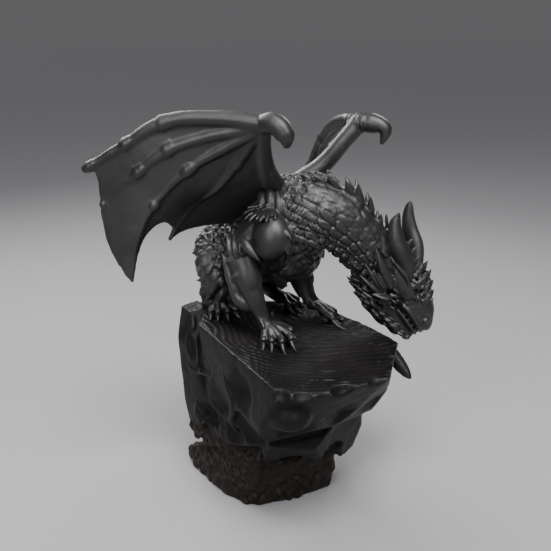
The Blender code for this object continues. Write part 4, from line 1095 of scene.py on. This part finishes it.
def carved_neck(mesh):
    """Bands of brick-like scales with deep grooves round the neck and a knobbled, pitted top, on
    skin that no spike, horn or frill has covered."""
    points = points_of(mesh)
    fine = smooth_rows(TORSO[6:], 16)
    centres = np.array([place(row[:3]) for row in fine])
    lengths = np.concatenate([[0], np.cumsum(np.linalg.norm(np.diff(centres, axis=0), axis=1))]) / UNIT
    low, high = centres.min(axis=0) - 0.02, centres.max(axis=0) + 0.02
    near = np.nonzero(np.all((points > low) & (points < high), axis=1))[0]
    here = points[near]
    offsets = here[:, None, :] - centres[None, :, :]
    index = np.argmin(np.linalg.norm(offsets, axis=2), axis=1)
    directions = [tuple(np.array(d) for d in frame_here) for frame_here in frames(fine[:, :3])]
    along, across, up = (np.array([d[k] for d in directions])[index] for k in range(3))
    offset = here - centres[index]
    length = lengths[index] + np.sum(offset * along, axis=1) / UNIT
    side, rise = np.sum(offset * across, axis=1), np.sum(offset * up, axis=1)
    radius = np.hypot(side, rise) / UNIT
    angle = np.degrees(np.arctan2(rise, np.abs(side)))
    share = index / (len(fine) - 1)
    edges = np.array([[np.interp(s, BAND_SHARES, row) for row in BAND_EDGES] for s in share])
    band = np.zeros(len(near))
    for k in range(len(BAND_EDGES) - 1):
        inside = (angle <= edges[:, k]) & (angle > edges[:, k + 1])
        band = np.where(inside, k + (edges[:, k] - angle) / (edges[:, k] - edges[:, k + 1]), band)
    band = np.where(angle > edges[:, 0], 0, np.where(angle <= edges[:, -1], 4.99, band))
    wander = drift(here, 0.0045, 4)
    lift = np.zeros(len(near))
    for k in range(1, 5):
        inside = (band >= k) & (band < k + 1)
        row = (band - k) * ROWS_IN_BAND[k] + 0.16 * wander
        part = row - np.floor(row)
        lane = np.floor(row) + 3 * k
        run = length / BRICK_LENGTH[k] + 0.5 * lane + 0.30 * np.sin(lane * 5.1) + 0.24 * wander
        step = run - np.floor(run)
        size = 0.78 + 0.22 * np.sin(np.floor(run) * 12.9 + lane * 7.7)
        cushion = np.abs(2 * part - 1) ** 3.4 + np.abs(2 * step - 1) ** 4.2
        lift += inside * (eased(1.06 - cushion, 0.0, 0.62) * (1.2 - 0.4 * step) * size * 1.25 - 0.72)
    first, second = cells(np.stack([length / 4.6, angle / 22 + 9, side / UNIT * 0.02 + share], axis=1), 3)
    knob = eased(second - first, 0.0, 0.4)
    inside = band < 1
    lift += inside * (0.38 * knob - 0.25 + 0.25 * drift(here, 0.0016, 9) + 0.35 * drift(here, 0.0042, 12))
    reach = eased(length, 0, 5) * (1 - eased(length, lengths[-1] - 7, lengths[-1] - 3))
    wide, tall = fine[index, 3], fine[index, 4]
    turn = np.radians(angle)
    skin_radius = 1 / np.sqrt((np.cos(turn) / wide) ** 2 + (np.sin(turn) / tall) ** 2)
    own = 1 - eased(radius - skin_radius, 0.9, 1.8)
    points[near] += normals_of(mesh)[near] * (lift * reach * own * UNIT * NECK_DEPTH)[:, None]
    set_points(mesh, points)


PEBBLED = [          # lowest and highest corner in skeleton units, cell size, depth, ridged or domed
    ((-20, 6, 16), (20, 46, 48), 3.1, 0.75, 1),
    ((-14, -9, 44), (14, 6, 60), 3.6, 0.7, 1),
    ((-9, -26, 52), (12, -4, 64), 3.4, 0.8, -1),
    ((-15, -6, 22), (15, 30, 42), 3.3, 0.6, 1),
]


def pebbled_skin(mesh):
    """Knobbled lumps over the back, rump and thighs and ridged pits over the withers."""
    points = points_of(mesh)
    normals = normals_of(mesh)
    skeleton = (points - np.array(UP) * ROCK_HEIGHT) / UNIT
    for low, high, size, depth, way in PEBBLED:
        low, high = np.array(low), np.array(high)
        near = np.nonzero(np.all((skeleton > low) & (skeleton < high), axis=1))[0]
        here = skeleton[near]
        rim = np.minimum(here - low, high - here).min(axis=1)
        first, second = cells(here / size, 5 + way)
        shape = eased(second - first, 0.0, 0.42)
        lift = depth * (shape - 0.6) if way > 0 else depth * (0.45 - shape)
        points[near] += normals[near] * (lift * eased(rim, 0, 3) * UNIT)[:, None]
    set_points(mesh, points)


def kept_in_box(mesh, low, high):
    set_points(mesh, np.clip(points_of(mesh), low, high))


def shown(name, data):
    """An object in the scene."""
    item = bpy.data.objects.new(name, data)
    bpy.context.scene.collection.objects.link(item)
    return item


def smooth_piece(name, mesh, material):
    mesh.materials.clear()
    mesh.materials.append(material)
    mesh.shade_smooth()
    return shown(name, mesh)


def figure_mesh():
    """Torso, neck, head, legs and tail with every scale and spike, fused."""
    leaf_shape, pebble_shape, plate_shape = scale_templates()
    tree = scale_tree()
    clay = bmesh.new()
    body_loft(clay, TORSO)
    muscle(clay, CHEST[:3], CHEST[3:])
    muscle(clay, BELLY[:3], BELLY[3:])
    forelegs(clay)
    hindlegs(clay)
    tail(clay)
    skull = bmesh.new()
    body_loft(skull, [(*head_point(f, 0, u), w, h) for f, u, w, h in SKULL])
    body_surface = surface_of(clay, 2 * BODY_GRAIN)
    head_surface = surface_of(skull, 2 * BODY_GRAIN)
    skull.free()
    head(clay)
    ridge(clay)
    limb_blades(clay)
    leaf, pebble, plate = Scales(), Scales(), Scales()
    neck_scales(body_surface, leaf, plate)
    body_scales(body_surface, leaf, pebble, plate)
    chest_scales(body_surface, leaf)
    head_scales(head_surface, leaf, pebble)
    for scales, shape in ((leaf, leaf_shape), (pebble, pebble_shape), (plate, plate_shape)):
        scales.onto(clay, shape, tree)
        bpy.data.objects.remove(shape)
    mesh = cast(clay, "figure", HEAD_GRAIN)
    carved_neck(mesh)
    pebbled_skin(mesh)
    return mesh


# Where the figure's mesh is parted, in skeleton units
NECK_CUT = Vector((13.5, -34.2, 36.6))
NECK_CUT_FACING = (0.52, -0.42, -0.74)
NECK_REACH = 22          # how far from the cut its plane acts, so that it misses wings and legs


def parted_at_neck(mesh):
    """The figure's mesh as a body and a head with its neck, each closed where they meet."""
    shape = bmesh.new()
    shape.from_mesh(mesh)
    centre = place(NECK_CUT)
    along = Vector(NECK_CUT_FACING).normalized()
    near = [f for f in shape.faces if (f.calc_center_median() - centre).length < NECK_REACH * UNIT]
    geometry = set(near)
    for face in near:
        geometry.update(face.edges)
        geometry.update(face.verts)
    cut = bmesh.ops.bisect_plane(shape, geom=list(geometry), plane_co=centre, plane_no=along, dist=1e-6)
    seam = [e for e in cut["geom_cut"] if isinstance(e, bmesh.types.BMEdge)]
    bmesh.ops.split_edges(shape, edges=seam)
    start = min(shape.verts, key=lambda v: (v.co - place(head_point(20, 0, 0))).length)
    head_side = set(shell_of(start))
    for vertex in shape.verts:
        vertex.tag = vertex in head_side
    halves = []
    for wanted in (False, True):
        half = shape.copy()
        bmesh.ops.delete(half, geom=[v for v in half.verts if v.tag != wanted], context="VERTS")
        rim = [e for e in half.edges if e.is_boundary]
        bmesh.ops.holes_fill(half, edges=rim, sides=0)
        for edge in rim:
            edge.smooth = False
        bmesh.ops.triangulate(half, faces=[f for f in half.faces if len(f.verts) > 4])
        halves.append(baked(half, "half"))
    shape.free()
    bpy.data.meshes.remove(mesh)
    return halves


def wing_mesh(side):
    mesh = cast(wing_clay(side), "wing", WING_GRAIN)
    roughen(mesh, 0.00010, 0.004, 3)
    return mesh


# The rock

ROCK_RIBS = [        # a radius in mm and the points that a rib runs through
    (1.9, [(-30.0, -4.6, 60.8), (-31.2, -9.6, 56.6), (-32.0, -13.2, 52.1), (-28.0, -8.0, 40.4),
           (-24.4, -6.4, 33.1)]),
    (1.1, [(-22.6, 15.6, 48.5), (-22.8, 13.0, 41.6), (-22.2, 10.6, 34.5)]),
    (0.8, [(-23.6, 26, 51.5), (-24.0, 19.5, 50.5), (-25.8, 7.9, 53.0), (-28.8, -2.4, 56.3)]),
    (1.3, [(-19.4, 25.6, 72.6), (-20.8, 23.8, 68.3), (-22.8, 24.6, 62.0), (-23.2, 24.0, 54.0)]),
    (0.9, [(-17.2, -14.0, 18.4), (-14.6, -15.8, 10.8), (-10.6, -18.4, 2.2)]),
]


def ribbed_rock():
    """The rock's solid with its thin ribs and cracks' lips."""
    clay = bmesh.new()
    clay.from_mesh(bpy.data.objects["rock_plinth"].data)
    bmesh.ops.remove_doubles(clay, verts=clay.verts, dist=1e-6)
    bmesh.ops.recalc_face_normals(clay, faces=clay.faces)
    for radius, points in ROCK_RIBS:
        knots = [(Vector(p) - UP * ROCK_HEIGHT * 1000) / (UNIT * 1000) for p in points]
        radii = [radius * 0.4] + [radius] * (len(knots) - 2) + [radius * 0.4]
        tube(clay, knots, radii, 3)
    return clay


def crumb_shape():
    """A small irregular stone of twenty faces."""
    shape = bmesh.new()
    bmesh.ops.create_icosphere(shape, subdivisions=1, radius=0.5)
    for vertex in shape.verts:
        vertex.co *= 1 + 0.35 * noise.noise(vertex.co * 3.1)
    return bpy.data.objects.new("crumb", baked(shape, "crumb"))


CRUMB_FIELDS = [     # lowest and highest corner in mm, number of crumbs and their size
    ((-26, -18, 1), (-12, 36, 23), 330, 3.1),
    ((-22, -32, 1), (12, -12, 23), 150, 3.0),
    ((-26, 4, 27), (-18, 22, 36), 60, 1.9),
    ((-12, -22, 12), (-2, -14, 24), 40, 2.0),
    ((6, 10, 1), (24, 34, 16), 120, 2.2),
]


def scattered_crumbs(clay, mesh):
    """Adds small stones to the clay at random points of the rock's surface in the crumb fields."""
    dice = np.random.default_rng(7)
    points = points_of(mesh)
    normals = normals_of(mesh)
    crumbs = Scales()
    for low, high, count, size in CRUMB_FIELDS:
        inside = np.all((points * 1000 > low) & (points * 1000 < high), axis=1)
        inside &= np.abs(normals[:, 2]) < LEVEL
        found = np.nonzero(inside)[0]
        if len(found) == 0:
            continue
        for index in dice.choice(found, min(count, len(found)), replace=False):
            grow = 0.55 + 0.9 * dice.random()
            lead = Vector(dice.random(3) - 0.5)
            crumbs.add(Vector(points[index]), Vector(normals[index]), lead, size * grow,
                       size * grow * (0.7 + 0.5 * dice.random()), size * 0.75 * grow)
    shape = crumb_shape()
    crumbs.onto(clay, shape, scale_tree())
    bpy.data.objects.remove(shape)


def rock_mesh():
    """The faceted rock with hollows, ribs, rubble at its foot and a layered top."""
    mesh = cast(ribbed_rock(), "rock", ROCK_GRAIN)
    roughen(mesh, 0.0004, 0.010, 5)
    roughen(mesh, 0.00016, 0.003, 8)
    clay = bmesh.new()
    clay.from_mesh(mesh)
    scattered_crumbs(clay, mesh)
    bpy.data.meshes.remove(mesh)
    mesh = cast(clay, "rock", ROCK_GRAIN, 1)
    layered_top(mesh)
    return mesh


TERRACE = 0.00040         # height of one printed layer on the rock's top, metres
TERRACE_REACH = 0.00032   # how far the surface is drawn to a layer's edge
EDGE_WIDTH = 0.00005      # half the width of the edge's slope
TOP_DEPTH = 0.0012        # how far from its plane the top still counts as top
SAMPLE = 0.0002           # step at which slopes are measured
LEVEL = 0.9               # a face whose normal rises more is level


def top_height(x, y):
    """How high the undulating top stands, in metres, for the run of its layers alone."""
    swell = 0.0011 * noise.noise(Vector((x / 0.022, y / 0.022, 0.7)))
    dome = -0.165 * ((x - 0.019) ** 2 + (y + 0.012) ** 2 + 0.00008) ** 0.5
    return dome + swell


def layered_top(mesh):
    """Steps the flat top along the contours of its printed layers."""
    points = points_of(mesh)
    normals = normals_of(mesh)
    plane = ROCK_HEIGHT + RISE_TO_TAIL * points[:, 1] + RISE_TO_LEFT * points[:, 0]
    top = (normals[:, 2] > LEVEL) & (np.abs(points[:, 2] - plane) < TOP_DEPTH)
    for index in np.nonzero(top)[0]:
        x, y, z = points[index]
        here = top_height(x, y)
        slope_x = (top_height(x + SAMPLE, y) - here) / SAMPLE
        slope_y = (top_height(x, y + SAMPLE) - here) / SAMPLE
        slope = max(1e-4, (slope_x ** 2 + slope_y ** 2) ** 0.5)
        level = here / TERRACE
        nearest = round(level)
        gap = (level - nearest) * TERRACE / slope
        if abs(gap) < TERRACE_REACH:
            move = (EDGE_WIDTH if gap > 0 else -EDGE_WIDTH) - gap
            x += slope_x / slope * move
            y += slope_y / slope * move
            level = nearest + (0.01 if gap > 0 else -0.01)
        part = level - np.floor(level)
        points[index] = (x, y, z - part * TERRACE * 0.9)
    set_points(mesh, points)


# Finishes

def new_group(name, inputs, outputs):
    """A shader group of numbers: its inputs with their values, and the names of its outputs."""
    group = bpy.data.node_groups.new(name, "ShaderNodeTree")
    for label, value in inputs.items():
        socket = group.interface.new_socket(label, in_out="INPUT", socket_type="NodeSocketFloat")
        socket.default_value = value
    for label in outputs:
        group.interface.new_socket(label, in_out="OUTPUT", socket_type="NodeSocketFloat")
    return group


def maths(tree, operation, first, second, clamp=False):
    return add_node(tree, "ShaderNodeMath", {0: first, 1: second}, operation=operation,
                    use_clamp=clamp).outputs[0]


def mapped(tree, value, start, end, low=0.0, high=1.0):
    """A value from start to end taken to low to high."""
    return add_node(tree, "ShaderNodeMapRange", {"Value": value, "From Min": start, "From Max": end,
                                                 "To Min": low, "To Max": high}).outputs["Result"]


def mixed(tree, share, first, second, blend="MIX"):
    """Two colours mixed by a share."""
    return add_node(tree, "ShaderNodeMix", {"Factor": share, "A": first, "B": second},
                    data_type="RGBA", blend_type=blend).outputs["Result"]


def object_place(tree):
    return add_node(tree, "ShaderNodeTexCoord").outputs["Object"]


def object_height(tree):
    return add_node(tree, "ShaderNodeSeparateXYZ", {0: object_place(tree)}).outputs["Z"]


def layer_line_group():
    """Fine printed layers: a rounded ridge for every layer and slow drift from layer to layer."""
    group = new_group("printed layers", {"Layer": LAYER * 1000, "Drift": 0.5}, ["Height"])
    entry = add_node(group, "NodeGroupInput").outputs
    height = maths(group, "MULTIPLY", object_height(group), 1000.0)
    layer = maths(group, "DIVIDE", height, entry["Layer"])
    ridge_height = maths(group, "PINGPONG", layer, 0.5)
    wander = add_node(group, "ShaderNodeTexNoise",
                      {"W": height, "Scale": 1.3, "Detail": 4, "Roughness": 0.65},
                      noise_dimensions="1D").outputs["Fac"]
    band = maths(group, "MULTIPLY", wander, entry["Drift"])
    total = maths(group, "ADD", maths(group, "MULTIPLY", ridge_height, 0.35), band)
    add_node(group, "NodeGroupOutput", {"Height": total})
    return group


def edge_highlight_and_crease_shade_group():
    """Paler edges, partly rubbed wear and partly a painted highlight on ridges, painted shade in creases and
    hollows, and cloudy variation over the surface.
    """
    group = new_group("rubbed edges", {"Edge": 0.3, "Cloud Size": 60}, ["Edge", "Hollow", "Cloud"])
    entry = add_node(group, "NodeGroupInput").outputs
    pointed = add_node(group, "ShaderNodeNewGeometry").outputs["Pointiness"]
    # edge mask: lightens convex edges, partly rubbed wear and partly a painted highlight
    edge = maths(group, "MULTIPLY", mapped(group, pointed, 0.52, 0.62), entry["Edge"])
    # hollow mask: creases and recesses, where painted shade darkens the colour
    hollow = mapped(group, pointed, 0.49, 0.40)
    cloud = add_node(group, "ShaderNodeTexNoise",
                     {"Vector": object_place(group), "Detail": 5, "Scale": entry["Cloud Size"]})
    add_node(group, "NodeGroupOutput", {"Edge": edge, "Hollow": hollow, "Cloud": cloud.outputs["Fac"]})
    return group


def ramp(tree, source, dark, light):
    """Dark to light over the middle of a cloudy value."""
    node = add_node(tree, "ShaderNodeValToRGB", {"Fac": source})
    for element, position, colour in zip(node.color_ramp.elements, CLOUD_SPAN, (dark, light)):
        element.position = position
        element.color = (*colour, 1)
    return node.outputs["Color"]


CLOUD_SPAN = (0.3, 0.7)
BROWN_SPAN = (0.032, 0.016)              # heights in metres between which the foot turns brown
# added on edges: partly rubbed wear, partly a painted highlight along ridges
EDGE_WEAR_AND_HIGHLIGHT_COLOUR = (0.05, 0.048, 0.046, 1)
# painted shade mixed into creases and hollows
CREASE_SHADE_COLOUR = (0.002, 0.002, 0.002, 1)
# how strongly edges are lightened, partly wear and partly painted highlight; on the rock mostly a painted
# highlight along ridges
SKIN_EDGE_WEAR_AND_HIGHLIGHT = 0.4
ROCK_EDGE_WEAR_AND_HIGHLIGHT = 1.0
RELIEF_DEPTH = 0.0002


def new_material(name):
    """A material with its node tree and its shader."""
    material = bpy.data.materials.new(name)
    material.use_nodes = True
    return material, material.node_tree, material.node_tree.nodes["Principled BSDF"]


def plastic(name, layers, edge_and_crease_paint, dark, light, roughness, bump, grain_size, grain_depth, gloss, foot=None):
    """Black satin plastic: dark to light colours by cloud, paler edges that are partly wear and partly a
    painted highlight, painted shade in hollows, layer lines and grain, and a browner colour near the
    ground where foot gives one."""
    material, tree, shader = new_material(name)
    lines = add_node(tree, "ShaderNodeGroup", node_tree=layers)
    edge_and_crease_masks = add_node(tree, "ShaderNodeGroup", {"Edge": ROCK_EDGE_WEAR_AND_HIGHLIGHT if foot else SKIN_EDGE_WEAR_AND_HIGHLIGHT}, node_tree=edge_and_crease_paint)
    edge, hollow, cloud = [edge_and_crease_masks.outputs[label] for label in ("Edge", "Hollow", "Cloud")]
    colour = ramp(tree, cloud, dark, light)
    if foot:
        low = mapped(tree, object_height(tree), *BROWN_SPAN)
        colour = mixed(tree, maths(tree, "MULTIPLY", low, cloud), colour, (*foot, 1))
    # paler edges: partly rubbed wear, partly a painted highlight
    colour = mixed(tree, edge, colour, EDGE_WEAR_AND_HIGHLIGHT_COLOUR, "ADD")
    # painted shade darkening creases and hollows
    colour = mixed(tree, hollow, colour, CREASE_SHADE_COLOUR)
    grain = add_node(tree, "ShaderNodeTexNoise",
                     {"Vector": object_place(tree), "Scale": 1 / grain_size, "Detail": 3}).outputs["Fac"]
    height = maths(tree, "ADD", lines.outputs["Height"], maths(tree, "MULTIPLY", grain, grain_depth))
    relief = add_node(tree, "ShaderNodeBump", {"Height": height, "Strength": bump, "Distance": RELIEF_DEPTH})
    satin = mapped(tree, cloud, *CLOUD_SPAN, roughness - 0.05, roughness + 0.07)
    dull = maths(tree, "MULTIPLY", hollow, 0.42)
    edge_and_crease_roughness = maths(tree, "ADD", dull, maths(tree, "MULTIPLY", edge, -0.25))
    set_inputs(tree, shader, {"Base Color": colour, "Normal": relief.outputs["Normal"],
                              "Roughness": maths(tree, "ADD", satin, edge_and_crease_roughness, True), "Metallic": 0.0,
                              "Specular IOR Level": gloss})
    return material


def matte(name, colour, roughness):
    material, tree, shader = new_material(name)
    set_inputs(tree, shader, {"Base Color": (*colour, 1), "Roughness": roughness})
    return material


# Stage, camera and light

FLOOR_SIZE = 30
FLOOR_COLOUR = (0.265, 0.265, 0.274)
WORLD_COLOUR = (0.118, 0.118, 0.122, 1)
CAMERA_PLACE = (-0.2047, -0.2078, 0.1797)
CAMERA_TARGET = (0.00156, -0.00156, 0.0905)
LIT_POINT = (0, 0, 0.09)
SOFT_LIGHTS = [      # name, place, size in metres and watts
    ("steep front box", (-0.17, -0.27, 0.60), (0.24, 0.20), 5.2),
    ("left box", (-0.50, -0.18, 0.36), (0.12, 0.24), 2.1),
    ("back strip", (0.02, 0.40, 0.42), (0.40, 0.12), 3.0),
    ("right edge box", (0.36, 0.10, 0.34), (0.10, 0.20), 0.6),
    ("neck box", (-0.06, -0.36, 0.40), (0.10, 0.10), 1.0),
]


def build_stage():
    shape = bmesh.new()
    bmesh.ops.create_grid(shape, x_segments=1, y_segments=1, size=FLOOR_SIZE)
    floor = shown("floor", baked(shape, "floor"))
    floor.data.materials.append(matte("pale floor", FLOOR_COLOUR, 0.85))


def aimed(item, place_at, target):
    """Places a camera or lamp and turns it to a target."""
    item.location = place_at
    item.rotation_euler = (Vector(target) - Vector(place_at)).to_track_quat("-Z", "Y").to_euler()


def build_camera():
    camera = shown("camera", bpy.data.cameras.new("camera"))
    camera.data.lens = 50
    camera.data.sensor_width = 36
    camera.data.clip_start = 0.01
    aimed(camera, CAMERA_PLACE, CAMERA_TARGET)
    bpy.context.scene.camera = camera


def add_lamp(name, kind, place_at, target, **settings):
    lamp = bpy.data.lights.new(name, kind)
    for label, value in settings.items():
        setattr(lamp, label, value)
    aimed(shown(name, lamp), place_at, target)


def build_lights():
    """An even sky, a soft sun high behind and soft boxes."""
    world = bpy.data.worlds.new("studio")
    world.use_nodes = True
    set_inputs(world.node_tree, world.node_tree.nodes["Background"], {"Color": WORLD_COLOUR, "Strength": 1.0})
    bpy.context.scene.world = world
    add_lamp("soft sky", "SUN", (-0.15, 0.30, 1.0), (0, 0, 0), energy=0.9, angle=radians(60))
    for name, place_at, (width, height), watts in SOFT_LIGHTS:
        add_lamp(name, "AREA", place_at, LIT_POINT, shape="RECTANGLE", size=width, size_y=height,
                 energy=watts)


def build():
    """The five fine pieces in place of the solids, then stage, camera and light."""
    layers = layer_line_group()
    # paler edges, partly wear and partly painted highlight, and painted shade in creases, for both plastics
    edge_and_crease_paint = edge_highlight_and_crease_shade_group()
    skin_plastic = plastic("black satin plastic", layers, edge_and_crease_paint, (0.006, 0.006, 0.006), (0.014, 0.0135, 0.013),
                           0.43, 0.35, 0.0006, 0.5, 0.5)
    rock_plastic = plastic("black rock plastic", layers, edge_and_crease_paint, (0.003, 0.003, 0.003), (0.009, 0.008, 0.0075),
                           0.44, 0.5, 0.0008, 0.8, 0.13, (0.022, 0.015, 0.010))
    body, neck = parted_at_neck(without_crumbs(figure_mesh(), LOOSE_VERTICES))
    pieces = [("dragon_body", body), ("dragon_neck_and_head", neck),
              ("right_wing", without_crumbs(wing_mesh(RIGHT_SIDE))),
              ("left_wing", without_crumbs(wing_mesh(LEFT_SIDE)))]
    for name, mesh in pieces:
        kept_in_box(mesh, *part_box("dragon"))
        piece = smooth_piece(name, without_crumbs(thinned(mesh, PIECE_TRIANGLES)), skin_plastic)
        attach(piece, "root")
        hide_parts("dragon")
    mesh = without_crumbs(rock_mesh())
    kept_in_box(mesh, *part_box("rock_plinth"))
    rock = smooth_piece("rock", thinned(mesh, PIECE_TRIANGLES), rock_plastic)
    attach(rock, "root")
    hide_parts("rock_plinth")
    build_stage()
    build_camera()
    build_lights()


build()

bpy.context.view_layer.update()
